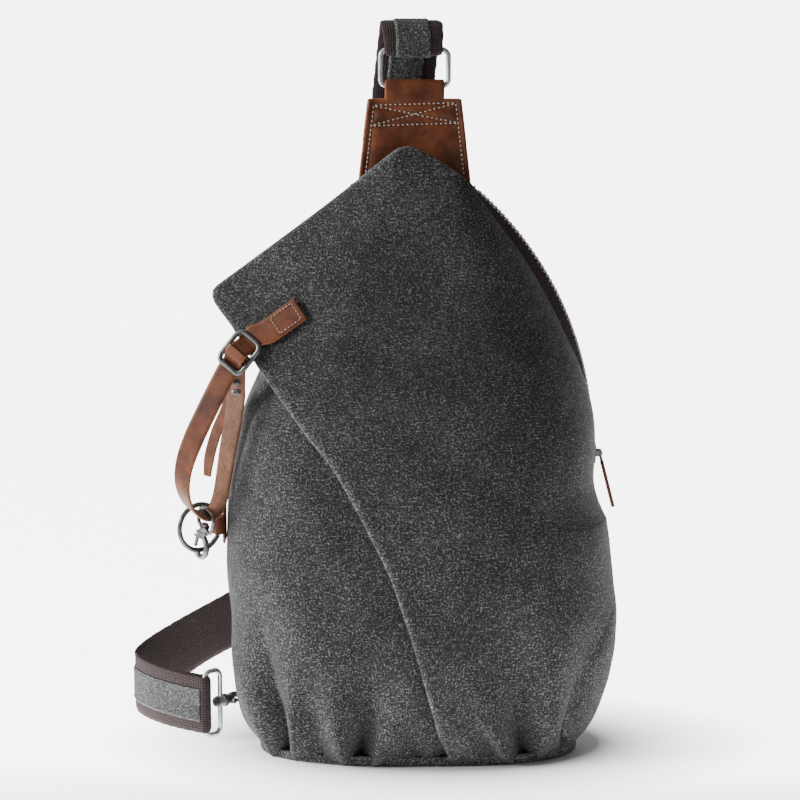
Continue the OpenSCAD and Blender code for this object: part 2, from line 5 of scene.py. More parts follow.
import bpy
import numpy as np
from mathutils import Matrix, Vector


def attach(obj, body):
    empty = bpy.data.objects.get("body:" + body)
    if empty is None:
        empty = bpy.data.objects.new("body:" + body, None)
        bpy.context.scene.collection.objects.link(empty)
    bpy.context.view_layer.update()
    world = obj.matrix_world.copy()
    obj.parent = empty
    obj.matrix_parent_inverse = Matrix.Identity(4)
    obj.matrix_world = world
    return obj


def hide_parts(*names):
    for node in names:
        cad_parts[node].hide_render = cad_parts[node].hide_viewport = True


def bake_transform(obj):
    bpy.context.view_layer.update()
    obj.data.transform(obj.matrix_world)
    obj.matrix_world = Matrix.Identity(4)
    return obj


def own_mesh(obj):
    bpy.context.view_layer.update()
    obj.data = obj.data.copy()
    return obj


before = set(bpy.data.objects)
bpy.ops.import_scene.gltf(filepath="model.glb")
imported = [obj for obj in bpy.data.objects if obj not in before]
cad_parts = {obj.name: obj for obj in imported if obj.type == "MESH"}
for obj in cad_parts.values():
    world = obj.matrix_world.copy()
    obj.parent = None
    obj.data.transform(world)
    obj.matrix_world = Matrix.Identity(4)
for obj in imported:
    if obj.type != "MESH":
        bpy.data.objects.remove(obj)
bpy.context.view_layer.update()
MM = 0.001

# ---------------------------------------------------------------- camera

CAM_AT = (-8, -1600, 470)
CAM_PITCH = 80.317
CAM_FOV = 15.72

cam_data = bpy.data.cameras.new("camera")
cam_data.sensor_fit = "HORIZONTAL"
cam_data.angle = math.radians(CAM_FOV)
cam_data.clip_end = 20
camera = bpy.data.objects.new("camera", cam_data)
bpy.context.scene.collection.objects.link(camera)
camera.location = [c * MM for c in CAM_AT]
camera.rotation_euler = (math.radians(CAM_PITCH), 0, 0)
bpy.context.scene.camera = camera

# ---------------------------------------------------------------- material helpers


class Nodes:
    """Short calls for building a node tree."""

    def __init__(self, name):
        self.mat = bpy.data.materials.new(name)
        self.mat.use_nodes = True
        self.tree = self.mat.node_tree
        self.bsdf = self.tree.nodes["Principled BSDF"]
        self.coords = {}

    def add(self, kind, **inputs):
        node = self.tree.nodes.new(kind)
        for key, value in inputs.items():
            self.put(node, key, value)
        return node

    def put(self, node, key, value):
        by_number = key[0] == "i" and key[1:].isdigit()
        socket = node.inputs[int(key[1:]) if by_number else key.replace("_", " ")]
        if isinstance(value, bpy.types.NodeSocket):
            self.tree.links.new(value, socket)
        else:
            socket.default_value = value

    def uv(self):
        if "uv" not in self.coords:
            node = self.tree.nodes.new("ShaderNodeUVMap")
            node.uv_map = "cloth"
            self.coords["uv"] = node.outputs[0]
        return self.coords["uv"]

    def obj(self):
        if "obj" not in self.coords:
            node = self.tree.nodes.new("ShaderNodeTexCoord")
            self.coords["obj"] = self.scale(node.outputs["Object"], (1000, 1000, 1000))
        return self.coords["obj"]

    def scale(self, vector, by):
        node = self.add("ShaderNodeVectorMath", i0=vector, i1=by)
        node.operation = "MULTIPLY"
        return node.outputs[0]

    def math(self, op, a, b=0.0, clamp=False):
        node = self.add("ShaderNodeMath", i0=a, i1=b)
        node.operation = op
        node.use_clamp = clamp
        return node.outputs[0]

    def noise(self, vector, scale=1.0, detail=2.0, rough=0.5):
        return self.add("ShaderNodeTexNoise", Vector=vector, Scale=scale, Detail=detail,
                        Roughness=rough).outputs[0]

    def ramp(self, value, low, high):
        node = self.add("ShaderNodeMapRange", Value=value, i1=low, i2=high)
        return node.outputs[0]

    def mix(self, fac, a, b):
        node = self.tree.nodes.new("ShaderNodeMix")
        node.data_type = "RGBA"
        for key, value in ((0, fac), (6, a), (7, b)):
            if isinstance(value, bpy.types.NodeSocket):
                self.tree.links.new(value, node.inputs[key])
            else:
                node.inputs[key].default_value = value if key == 0 else (*value, 1)
        return node.outputs[2]

    def attribute(self, name):
        node = self.tree.nodes.new("ShaderNodeAttribute")
        node.attribute_name = name
        return node.outputs["Fac"]

    def bump(self, height, strength, distance):
        node = self.add("ShaderNodeBump", Strength=strength, Distance=distance, Height=height)
        if "normal" in self.coords:
            self.put(node, "Normal", self.coords["normal"])
        self.coords["normal"] = node.outputs[0]
        self.put(self.bsdf, "Normal", node.outputs[0])

    def surface(self, color, rough, metallic=0.0, sheen=0.0, coat=0.0, coat_rough=0.2, ior=1.5):
        self.put(self.bsdf, "Base_Color", color)
        self.put(self.bsdf, "Roughness", rough)
        self.put(self.bsdf, "Metallic", metallic)
        self.put(self.bsdf, "IOR", ior)
        self.put(self.bsdf, "Sheen_Weight", sheen)
        self.put(self.bsdf, "Sheen_Roughness", 0.5)
        self.put(self.bsdf, "Coat_Weight", coat)
        self.put(self.bsdf, "Coat_Roughness", coat_rough)
        return self.mat


def wave_product(n, u, v, pitch_u, pitch_v):
    """Bumps where two sets of threads cross."""
    su = n.math("SINE", n.math("MULTIPLY", u, math.pi / pitch_u))
    sv = n.math("SINE", n.math("MULTIPLY", v, math.pi / pitch_v))
    return n.math("MULTIPLY", su, sv)


def canvas_material(name, dark, light, thread=1.0, washed=1.0):
    """Heavy washed canvas: crossing slubby threads, light specks, and paler worn edges."""
    n = Nodes(name)
    uv = n.uv()
    split = n.add("ShaderNodeSeparateXYZ", Vector=uv)
    u, v = split.outputs[0], split.outputs[1]
    along = n.noise(n.scale(uv, (0.20 / thread, 0.95 / thread, 1)), 1, 2, 0.6)
    across = n.noise(n.scale(uv, (0.95 / thread, 0.20 / thread, 1)), 1, 2, 0.6)
    speck = n.noise(n.scale(uv, (0.80 / thread, 0.80 / thread, 1)), 1, 1, 0.5)
    threads = n.math("MAXIMUM", along, across)
    patches = n.noise(n.scale(uv, (0.018, 0.018, 1)), 1, 3, 0.6)
    mottle = n.noise(n.scale(uv, (0.12, 0.12, 1)), 1, 2, 0.6)
    weave = wave_product(n, u, v, 0.62 * thread, 0.62 * thread)
    tone = n.math("ADD", n.math("MULTIPLY", n.ramp(threads, 0.50, 0.72), 0.8), n.ramp(speck, 0.47, 0.68))
    tone = n.math("ADD", tone, n.math("MULTIPLY", n.math("SUBTRACT", patches, 0.5), 0.9 * washed))
    tone = n.math("ADD", tone, n.math("MULTIPLY", n.math("SUBTRACT", mottle, 0.5), 0.5 * washed))
    tone = n.math("ADD", tone, n.math("MULTIPLY", weave, 0.14))
    tone = n.math("ADD", tone, n.math("MULTIPLY", n.attribute("wear"), 0.7))
    color = n.mix(n.math("POWER", n.math("MULTIPLY", tone, 0.52, True), 1.7), dark, light)
    n.bump(n.math("ADD", n.math("MULTIPLY", weave, 0.4), n.math("ADD", threads, speck)), 0.75, 0.0004)
    n.bump(mottle, 0.3, 0.0014)
    return n.surface(color, 0.93, sheen=0.08)


def leather_material(name, dark, light, rough=0.42, grain=1.0, coat=0.06):
    n = Nodes(name)
    p = n.obj()
    pores = n.add("ShaderNodeTexVoronoi", Vector=p, Scale=1.15).outputs["Distance"]
    fine = n.noise(p, 1.6, 3, 0.6)
    patches = n.noise(p, 0.07, 3, 0.6)
    tone = n.math("ADD", n.math("MULTIPLY", n.math("SUBTRACT", patches, 0.35), 1.5),
                  n.math("MULTIPLY", n.math("SUBTRACT", fine, 0.5), 0.6))
    tone = n.math("SUBTRACT", tone, n.math("MULTIPLY", n.attribute("wear"), -0.5), True)
    color = n.mix(tone, dark, light)
    n.bump(pores, 0.12 * grain, 0.0002)
    n.bump(fine, 0.22 * grain, 0.0003)
    n.bump(patches, 0.12, 0.0015)
    return n.surface(color, n.ramp(n.math("ADD", fine, patches), -0.9 + rough, 2.0 + rough), coat=coat,
                     coat_rough=0.35, ior=1.38)


def suede_material(name, dark, light):
    """The flesh side of leather: matt, fibrous."""
    n = Nodes(name)
    p = n.obj()
    fibre = n.noise(n.scale(p, (1, 1, 0.35)), 1.3, 4, 0.7)
    patches = n.noise(p, 0.11, 2, 0.6)
    color = n.mix(n.ramp(n.math("ADD", fibre, n.math("MULTIPLY", patches, 0.7)), 0.55, 1.1), dark, light)
    n.bump(fibre, 0.6, 0.0006)
    return n.surface(color, 0.88, sheen=0.15)


def webbing_material(name, dark, light):
    """Cotton webbing: a close twill whose ribs slant across the strap."""
    n = Nodes(name)
    split = n.add("ShaderNodeSeparateXYZ", Vector=n.uv())
    u, v = split.outputs[0], split.outputs[1]
    slant_a = n.math("ADD", n.math("MULTIPLY", u, 1.0), n.math("MULTIPLY", v, 0.9))
    slant_b = n.math("SUBTRACT", n.math("MULTIPLY", u, 1.0), n.math("MULTIPLY", v, 0.9))
    ribs = wave_product(n, slant_a, slant_b, 1.25, 1.25)
    fibre = n.noise(n.scale(n.uv(), (2.2, 0.8, 1)), 1, 3, 0.6)
    tone = n.math("ADD", n.math("MULTIPLY", n.ramp(ribs, -0.6, 1.0), 0.55), n.math("MULTIPLY", fibre, 0.5))
    tone = n.math("ADD", tone, n.math("MULTIPLY", n.attribute("wear"), 0.4))
    color = n.mix(n.math("SUBTRACT", tone, 0.12, True), dark, light)
    n.bump(ribs, 0.7, 0.0005)
    n.bump(fibre, 0.3, 0.0002)
    return n.surface(color, 0.9, sheen=0.08)


def metal_material(name, dark, light, rough):
    n = Nodes(name)
    p = n.obj()
    cloud = n.noise(p, 0.22, 3, 0.6)
    scratch = n.noise(n.scale(p, (1, 1, 0.15)), 2.4, 2, 0.5)
    color = n.mix(n.ramp(cloud, 0.3, 0.7), dark, light)
    n.bump(scratch, 0.08, 0.0001)
    return n.surface(color, n.ramp(n.math("ADD", cloud, scratch), 1.0 - rough * 4.2, 1.0 + rough * 6), metallic=1.0)


def thread_material(name, color, light):
    n = Nodes(name)
    twist = n.noise(n.obj(), 1.4, 2, 0.6)
    n.bump(twist, 0.4, 0.0002)
    return n.surface(n.mix(n.ramp(twist, 0.35, 0.7), color, light), 0.75, sheen=0.2)


CANVAS = canvas_material("canvas", (0.0035, 0.0036, 0.0039), (0.33, 0.33, 0.335), thread=0.85)
CANVAS_DARK = canvas_material("canvas_shadow", (0.005, 0.005, 0.0055), (0.06, 0.06, 0.062))
STRIP = canvas_material("strip_canvas", (0.012, 0.0125, 0.013), (0.34, 0.343, 0.347), thread=0.8)
LINING = canvas_material("lining_cotton", (0.02, 0.018, 0.017), (0.09, 0.085, 0.08), thread=0.5)
LEATHER = leather_material("leather", (0.072, 0.0185, 0.0065), (0.300, 0.088, 0.029))
LEATHER_EDGE = leather_material("leather_edge", (0.10, 0.030, 0.011), (0.34, 0.125, 0.048), rough=0.55, coat=0.0)
SUEDE = suede_material("leather_flesh", (0.055, 0.020, 0.010), (0.26, 0.115, 0.060))
WEBBING = webbing_material("webbing", (0.007, 0.0032, 0.0032), (0.052, 0.023, 0.022))
TAPE = webbing_material("zip_tape", (0.014, 0.0055, 0.0055), (0.055, 0.022, 0.021))
NICKEL = metal_material("nickel", (0.42, 0.42, 0.43), (0.80, 0.79, 0.78), 0.20)
GUNMETAL = metal_material("gunmetal", (0.11, 0.11, 0.115), (0.27, 0.265, 0.26), 0.26)
ZIP_METAL = metal_material("zip_nickel", (0.28, 0.28, 0.28), (0.60, 0.59, 0.57), 0.30)
THREAD = thread_material("thread", (0.34, 0.20, 0.13), (0.78, 0.60, 0.47))
# Near-black dashes: painted shade in the needle holes between the patch's stitches
STITCH_HOLE_SHADE = thread_material("stitch_hole_shade", (0.012, 0.005, 0.003), (0.05, 0.02, 0.012))
THREAD_GREY = thread_material("thread_grey", (0.03, 0.03, 0.032), (0.12, 0.12, 0.125))
BOARD = leather_material("board", (0.08, 0.07, 0.06), (0.14, 0.12, 0.10), rough=0.7, coat=0.0)

# ---------------------------------------------------------------- the bag's surface, as in the CAD

LEFT_HALF = [[0, 84], [6, 89], [18, 97], [35, 101], [70, 103], [94, 106], [114, 107], [140, 105],
             [169, 100], [197, 94], [213, 87], [240, 78], [262, 69], [290, 54], [310, 41], [322, 33], [345, 24]]
RIGHT_HALF = [[0, 88], [5, 92], [23, 103], [40, 109], [58, 113], [75, 114.5], [93, 113.5], [119, 110.5],
              [140, 107], [152, 103.5]]
FRONT_FACE = [[0, -50], [8, -56], [20, -61], [60, -65], [120, -66], [180, -61], [220, -55], [265, -41],
              [300, -26], [322, -15], [345, -6]]
BACK_FACE = [[0, 50], [100, 50], [150, 48], [200, 42], [265, 32], [300, 26], [322, 21], [342, 11]]
SIDE_LINE = [[0, -8], [20, -8], [60, 0], [150, 13.5], [152, 13.3], [322, -3.7], [345, -3.7]]
HEM_X = [[0, 20], [22, 14], [51, 6], [82, -3], [113, -13], [146, -30], [173, -46], [186, -58]]
# Where the front panel tucks in before the zip, and where its lower right seam runs
ZIP_TUCK = [[0, 0], [188, 0], [205, 2], [236, 7], [265, 9], [300, 8.4], [318, 3], [322, 0], [345, 0]]
LOW_SEAM = [[0, 89], [10, 86], [20, 85.5], [28, 86], [43, 92], [65, 101], [83, 112], [93, 113.3]]
ZIP_CENTRE = (-95, 11.5, 170)
ZIP_R = 197
ZIP_LEAN = math.atan(0.1)
SQUARE_FRONT = 0.75
SQUARE_BACK = 1.08
SMOOTH_STEP = 2.0


class Curve:
    """A table of values by height, rounded at its corners."""

    def __init__(self, table, spread=9.0):
        z = np.array([t[0] for t in table], float)
        w = np.array([t[1] for t in table], float)
        self.z = np.arange(-40, 400, SMOOTH_STEP)
        raw = np.interp(self.z, z, w)
        low = self.z < z[0]
        raw[low] = w[0] + (self.z[low] - z[0]) * (w[1] - w[0]) / (z[1] - z[0])
        high = self.z > z[-1]
        raw[high] = w[-1] + (self.z[high] - z[-1]) * (w[-1] - w[-2]) / (z[-1] - z[-2])
        k = np.exp(-0.5 * (np.arange(-3 * spread, 3 * spread + 0.1, SMOOTH_STEP) / spread) ** 2)
        self.v = np.convolve(raw, k / k.sum(), "same")

    def __call__(self, z):
        return np.interp(z, self.z, self.v)


left_half = Curve(LEFT_HALF, 5)
right_low = Curve(RIGHT_HALF, 4)
front_face = Curve(FRONT_FACE, 8)
back_face = Curve(BACK_FACE, 10)
side_line = Curve(SIDE_LINE, 10)
hem_x = Curve(HEM_X, 6)
zip_tuck = Curve(ZIP_TUCK, 6)
low_seam = Curve(LOW_SEAM, 3)


def zip_x(z):
    return ZIP_CENTRE[0] + np.sqrt(np.maximum(ZIP_R ** 2 - (z - ZIP_CENTRE[2]) ** 2, 1))


def right_half(z):
    top = np.where(z < 318, zip_x(z), zip_x(318.0) - (z - 318) * 0.5)
    blend = np.clip((z - 130) / 25, 0, 1)
    return (1 - blend) * right_low(z) + blend * top


def spow(v, e):
    return np.sign(v) * np.abs(v) ** e


def skin(a, z, inset=0.0, front_half=None):
    """A point at angle a in degrees (0 right, 90 back, 180 left, 270 front)."""
    a = np.radians(a)
    c, s = np.cos(a), np.sin(a)
    e = np.where(s < 0, SQUARE_FRONT, SQUARE_BACK)
    right = right_half(z) if front_half is None else front_half(z)
    half = np.where(c > 0, right, left_half(z)) - inset
    mid = side_line(z)
    deep = np.where(s < 0, mid - front_face(z), back_face(z) - mid) - inset
    return np.stack(np.broadcast_arrays(spow(c, e) * half, mid + spow(s, e) * deep, z), -1)


def tucked_half(z):
    return right_half(z) - zip_tuck(z)


def front_angle(x, z, half=None):
    right = right_half(z) if half is None else half(z)
    w = np.where(x > 0, right, left_half(z))
    a = np.degrees(np.arccos(np.clip(np.abs(x) / w, 0, 1) ** (1 / SQUARE_FRONT)))
    return np.where(x > 0, 360 - a, 180 + a)


def right_front_angle(dy, z):
    deep = side_line(z) - front_face(z)
    return 360 - np.degrees(np.arcsin(np.clip(dy / deep, 0, 1) ** (1 / SQUARE_FRONT)))


def right_back_angle(dy, z):
    deep = back_face(z) - side_line(z)
    return np.degrees(np.arcsin(np.clip(dy / deep, 0, 1) ** (1 / SQUARE_BACK)))


def crease_x(z):
    return -58 + (z - 186) * 50 / 154


# ---------------------------------------------------------------- folds


def smooth_noise(p, size, seed):
    """A gentle random field from a few plane waves."""
    rng = np.random.default_rng(seed)
    out = np.zeros(p.shape[:-1])
    for _ in range(14):
        d = rng.normal(size=3)
        d /= np.linalg.norm(d)
        out += np.sin(p @ d * (2 * math.pi / (size * rng.uniform(0.7, 1.6))) + rng.uniform(0, 6.28))
    return out / math.sqrt(14)


# Pleats of the front, as (bottom x, bottom z, top x, top z, width, depth)
FRONT_PLEATS = [
    (-72, 6, -87, 84, 8.5, 14.5),
    (-30, 4, -22, 72, 12, 13),
    (61, 6, 50, 78, 12, 12),
    (16, 4, 22, 46, 9, 2.2),
    (40, 5, 30, 60, 9, 2.6),
    (-52, 5, -62, 62, 9, 2.6),
    (2, 4, -4, 40, 7, 1.8),
    (84, 12, 99, 70, 8, 7),
]


def pleat_shift(x, z, pleats):
    total = np.zeros(np.broadcast(x, z).shape)
    for x0, z0, x1, z1, width, depth in pleats:
        dx, dz = x1 - x0, z1 - z0
        length = math.hypot(dx, dz)
        t = ((x - x0) * dx + (z - z0) * dz) / length ** 2
        s = ((x - x0) * dz - (z - z0) * dx) / length
        tt = np.clip(t, 0, 1.35)
        w = width * (0.34 + 0.95 * tt)
        fade = np.clip(1 - tt / 1.3, 0, 1) ** 1.2 * np.clip((t + 0.16) / 0.2, 0.0, 1)
        valley = -np.exp(-np.abs(s / w) ** (1.45 if depth > 6 else 2))
        ridge = 0.42 * np.exp(-((np.abs(s) - 2.0 * w) / (1.1 * w)) ** 2)
        total += depth * fade * (valley + ridge)
    return total


# ---------------------------------------------------------------- mesh helpers


def as_object(name, verts, faces, mats, uvs=None, wear=None, slots=None, smooth=True):
    mesh = bpy.data.meshes.new(name)
    mesh.from_pydata((np.asarray(verts, float) * MM).tolist(), [], [tuple(f) for f in faces])
    for m in mats:
        mesh.materials.append(m)
    if slots is not None:
        mesh.polygons.foreach_set("material_index", np.asarray(slots, np.int32))
    if smooth:
        mesh.polygons.foreach_set("use_smooth", np.ones(len(mesh.polygons), bool))
    loops = np.empty(len(mesh.loops), np.int32)
    mesh.loops.foreach_get("vertex_index", loops)
    if uvs is None:
        v = np.asarray(verts, float)
        uvs = np.stack([v[:, 0] + v[:, 1], v[:, 2]], -1)
    layer = mesh.uv_layers.new(name="cloth")
    layer.data.foreach_set("uv", np.asarray(uvs, np.float32)[loops].ravel())
    if wear is not None:
        attribute = mesh.attributes.new("wear", "FLOAT", "POINT")
        attribute.data.foreach_set("value", np.asarray(wear, np.float32))
    mesh.update()
    obj = bpy.data.objects.new(name, mesh)
    bpy.context.scene.collection.objects.link(obj)
    return obj


def face_normals(verts, quads):
    """Area-weighted vertex normals."""
    a, b, c, d = (verts[quads[:, k]] for k in range(4))
    n = np.cross(c - a, d - b)
    out = np.zeros_like(verts)
    for k in range(4):
        np.add.at(out, quads[:, k], n)
    return out / np.maximum(np.linalg.norm(out, axis=-1, keepdims=True), 1e-9)


def grid_quads(rows, cols, keep=None):
    index = np.arange(rows * cols).reshape(rows, cols)
    quads = np.stack([index[:-1, :-1], index[:-1, 1:], index[1:, 1:], index[1:, :-1]], -1)
    return quads[keep] if keep is not None else quads.reshape(-1, 4)


def grid_normals(p):
    return face_normals(p.reshape(-1, 3), grid_quads(*p.shape[:2])).reshape(p.shape)


def grid_uv(p):
    """Distances along the rows and up the middle column, so the weave keeps its size."""
    step_u = np.linalg.norm(np.diff(p, axis=1), axis=-1)
    u = np.concatenate([np.zeros((p.shape[0], 1)), np.cumsum(step_u, 1)], 1)
    mid = p.shape[1] // 2
    u = u - u[:, mid:mid + 1]
    step_v = np.linalg.norm(np.diff(p[:, mid], axis=0), axis=-1)
    v = np.concatenate([[0], np.cumsum(step_v)])[:, None] + np.zeros_like(u)
    return np.stack([u, v], -1)


def sheet(name, p, thick, mats, wear_edges=0.0, wear_size=2.0, slots=(0, 0, 0), keep=None, bulge=0.42):
    """A closed sheet under the grid p, thick inwards, with rounded edges.
    slots are the materials of its outside, its inside and its edges; keep drops some of its quads."""
    rows, cols = p.shape[:2]
    quads = grid_quads(rows, cols, keep)
    verts = p.reshape(-1, 3)
    uv = grid_uv(p).reshape(-1, 2)
    used, quads = np.unique(quads, return_inverse=True)
    quads = quads.reshape(-1, 4)
    verts, uv = verts[used], uv[used]
    normals = face_normals(verts, quads)
    inner = verts - normals * thick
    edges = np.concatenate([quads[:, [k, (k + 1) % 4]] for k in range(4)])
    keys = np.sort(edges, 1)
    _, first, count = np.unique(keys, axis=0, return_index=True, return_counts=True)
    rim = edges[first[count == 1]]
    n = len(verts)
    on_rim = np.unique(rim)
    slot_of = np.full(n, -1)
    slot_of[on_rim] = np.arange(len(on_rim))
    away = np.zeros_like(verts)
    tangent = verts[rim[:, 1]] - verts[rim[:, 0]]
    tangent /= np.maximum(np.linalg.norm(tangent, axis=1, keepdims=True), 1e-9)
    out = np.cross(tangent, normals[rim[:, 0]])
    np.add.at(away, rim[:, 0], out)
    np.add.at(away, rim[:, 1], out)
    away = away[on_rim]
    away /= np.maximum(np.linalg.norm(away, axis=1, keepdims=True), 1e-9)
    middle = (verts[on_rim] + inner[on_rim]) / 2 + away * thick * bulge
    m0, m1 = 2 * n + slot_of[rim[:, 0]], 2 * n + slot_of[rim[:, 1]]
    rim_faces = np.concatenate([np.stack([rim[:, 1], rim[:, 0], m0, m1], -1),
                                np.stack([m1, m0, rim[:, 0] + n, rim[:, 1] + n], -1)])
    faces = np.concatenate([quads, quads[:, ::-1] + n, rim_faces])
    kinds = np.concatenate([np.full(len(quads), slots[0]), np.full(len(quads), slots[1]),
                            np.full(len(rim_faces), slots[2])])
    worn = np.zeros(n)
    if wear_edges:
        points = verts[on_rim]
        for start in range(0, n, 4000):
            part = verts[start:start + 4000]
            gap = np.sqrt(((part[:, None] - points[None, ::2]) ** 2).sum(-1).min(1))
            worn[start:start + 4000] = wear_edges * np.exp(-(gap / wear_size) ** 2)
    worn = np.concatenate([worn, worn, np.full(len(on_rim), wear_edges)])
    return as_object(name, np.concatenate([verts, inner, middle]), faces.tolist(), mats,
                     np.concatenate([uv, uv + 3.3, uv[on_rim] + 0.4]), worn, kinds)


def along_rows(polys, cols):
    """Each row's polyline, resampled to the same number of evenly spaced points."""
    out = []
    for line in polys:
        d = np.concatenate([[0], np.cumsum(np.linalg.norm(np.diff(line, axis=0), axis=1))])
        t = np.linspace(0, 1, cols) * d[-1]
        out.append(np.stack([np.interp(t, d, line[:, k]) for k in range(3)], -1))
    return np.array(out)


def catmull(points, steps):
    p = np.asarray(points, float)
    q = np.concatenate([[p[0]], p, [p[-1]]])
    out = []
    for i in range(len(p) - 1):
        a, b, c, d = q[i], q[i + 1], q[i + 2], q[i + 3]
        for k in range(steps):
            t = k / steps
            out.append(0.5 * (2 * b + (c - a) * t + (2 * a - 5 * b + 4 * c - d) * t * t
                              + (3 * b - a - 3 * c + d) * t ** 3))
    out.append(p[-1])
    return np.array(out)


def band_frames(route, sides, steps, level=None):
    """level, 1 to 0 for each point of the route, keeps the sides as given instead of square to it."""
    r, s = catmull(route, steps), catmull(sides, steps)
    along = np.gradient(r, axis=0)
    along /= np.linalg.norm(along, axis=1, keepdims=True)
    square = 1 - (catmull(np.reshape(level, (-1, 1)), steps) if level is not None else np.zeros((len(r), 1)))
    across = s - square * np.sum(s * along, 1, keepdims=True) * along
    across /= np.linalg.norm(across, axis=1, keepdims=True)
    up = np.cross(along, across)
    return r, along, across, up / np.linalg.norm(up, axis=1, keepdims=True)


def band(name, route, sides, width, lo, hi, mats, steps=6, cols=9, round_edge=0.5, crown=0.0, slots=(0, 0, 0),
         wear=0.5, wear_size=1.0, ripple=0.0, level=None, drawn=None):
    """A flat strap along a route, between the offsets lo and hi, with rounded long edges.
    drawn is how much narrower it is at each point of the route."""
    r, along, across, up = band_frames(route, sides, steps, level)
    n = len(r)
    length = np.concatenate([[0], np.cumsum(np.linalg.norm(np.diff(r, axis=0), axis=1))])
    widths = np.broadcast_to(width(length / length[-1]) if callable(width) else width, (n,))
    if drawn is not None:
        widths = widths - catmull(np.reshape(drawn, (-1, 1)), steps)[:, 0]
    half_t = (hi - lo) / 2
    mid = (hi + lo) / 2
    # One ring of points round the section: the top from left to right, then the bottom back
    x = np.linspace(-1, 1, cols)
    corner = half_t * round_edge
    section = []
    section += [(xi, 1.0, 0) for xi in x]
    section.append((1, 0, 1))
    section += [(xi, -1.0, 2) for xi in x[::-1]]
    section.append((-1, 0, 3))
    m = len(section)
    verts = np.zeros((n, m, 3))
    uvs = np.zeros((n, m, 2))
    worn = np.zeros((n, m))
    shake = ripple * np.sin(length * 0.9) if ripple else np.zeros(n)
    for k, (xi, side, kind) in enumerate(section):
        half_w = widths / 2
        inset = np.where(abs(abs(xi) - 1) < 1e-6, corner, 0) if kind in (0, 2) else 0
        px = xi * half_w - np.sign(xi) * inset
        edge_low = corner * 0.6 if (kind in (0, 2) and abs(abs(xi) - 1) < 1e-6) else 0
        pz = mid + side * (half_t - edge_low) + (crown * (1 - xi * xi) * side if kind in (0, 2) else 0)
        px = px + (np.sign(xi) * shake if kind in (1, 3) else 0)
        verts[:, k] = r + across * np.reshape(px, (-1, 1)) + up * np.reshape(pz * np.ones(n), (-1, 1))
        uvs[:, k, 0] = length
        uvs[:, k, 1] = xi * half_w + (half_t * 2 if kind == 2 else 0)
        near = (1 - abs(xi)) * half_w
        worn[:, k] = wear * np.exp(-(near / wear_size) ** 2) if kind in (0, 2) else wear
    idx = np.arange(n * m).reshape(n, m)
    nxt = np.roll(idx, -1, axis=1)
    quads = np.stack([idx[:-1], idx[1:], nxt[1:], nxt[:-1]], -1).reshape(-1, 4)
    kinds = np.zeros((n - 1, m), int)
    for k, (xi, side, kind) in enumerate(section):
        following = section[(k + 1) % m][2]
        kinds[:, k] = {(0, 0): slots[0], (2, 2): slots[1]}.get((kind, following), slots[2])
    ends = []
    for row, flip in ((idx[0], False), (idx[-1], True)):
        for k in range(cols - 1):
            low_k = m - 3 - k
            quad = [row[k], row[k + 1], row[low_k], row[low_k + 1]]
            ends.append(quad[::-1] if flip else quad)
        right = [row[cols - 1], row[cols], row[cols + 1]]
        left = [row[0], row[m - 2], row[m - 1]]
        ends += [right[::-1] if flip else right, left[::-1] if flip else left]
    kinds = np.concatenate([kinds.ravel(), np.full(len(ends), slots[2])])
    obj = as_object(name, verts.reshape(-1, 3), quads.tolist() + ends, mats, uvs.reshape(-1, 2), worn.ravel(), kinds)
    return obj, (r, along, across, up, length)


def stitches(name, line, normals, mat, pitch=3.0, length=2.1, radius=0.33, lift=0.12, phase=0.0):
    """Thread stitches along a line: short rounded dashes that dive in at both ends."""
    line = np.asarray(line, float)
    d = np.concatenate([[0], np.cumsum(np.linalg.norm(np.diff(line, axis=0), axis=1))])
    count = max(1, int(d[-1] / pitch))
    verts, faces = [], []
    for k in range(count):
        mid = min((k + 0.5 + phase) * d[-1] / count, d[-1] - length / 2)
        ts = np.linspace(mid - length / 2, mid + length / 2, 6)
        pts = np.stack([np.interp(ts, d, line[:, c]) for c in range(3)], -1)
        nrm = np.stack([np.interp(ts, d, np.asarray(normals)[:, c]) for c in range(3)], -1)
        nrm /= np.linalg.norm(nrm, axis=1, keepdims=True)
        tan = np.gradient(pts, axis=0)
        tan /= np.linalg.norm(tan, axis=1, keepdims=True)
        side = np.cross(nrm, tan)
        base = len(verts)
        for i in range(6):
            x = (i / 5) * 2 - 1
            r = radius * math.sqrt(max(1 - x * x * 0.82, 0.02))
            rise = lift + radius * (0.9 * (1 - x * x) - 0.35)
            for q in range(6):
                a = q * math.pi / 3
                verts.append(pts[i] + side[i] * math.cos(a) * r + nrm[i] * (math.sin(a) * r + rise))
        for i in range(5):
            for q in range(6):
                a, b = base + i * 6 + q, base + i * 6 + (q + 1) % 6
                faces.append((a, b, b + 6, a + 6))
        faces.append(tuple(base + q for q in range(5, -1, -1)))
        faces.append(tuple(base + 30 + q for q in range(6)))
    return as_object(name, verts, faces, [mat])


def dress(node, mat):
    """Gives a CAD node its finished material."""
    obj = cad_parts[node]
    obj.data.materials.clear()
    obj.data.materials.append(mat)


def finish_piece(obj, nodes, body=None):
    """Hides the CAD nodes a piece stands in for and parents it to the body it rides on, if one is given."""
    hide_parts(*nodes)
    if body:
        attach(obj, body)
    return obj

# ---------------------------------------------------------------- canvas panels

# Below this height the free edge is the hem, above it the crease of the wing
HINGE_LOW = 186
FLAP_Y = 2.5
# The free edge of the wing: x by height, from the hem up round the tip to the top corner
WING_EDGE = [[186, -58], [199, -68], [219, -83], [243, -100], [252, -107.5], [255.5, -110.3], [258.5, -111.6],
             [262, -111.4], [264.5, -109.2], [270, -101.5], [300, -61], [327, -25], [336, -13], [340, -8]]
TOP_RIGHT = [[315, 34.8], [323, 26.5], [331, 15], [338, 2], [339.3, -2], [340, -7]]


def wing_x(z):
    return np.interp(z, [e[0] for e in WING_EDGE], [e[1] for e in WING_EDGE])


def top_right_x(z):
    return np.interp(z, [e[0] for e in TOP_RIGHT], [e[1] for e in TOP_RIGHT])


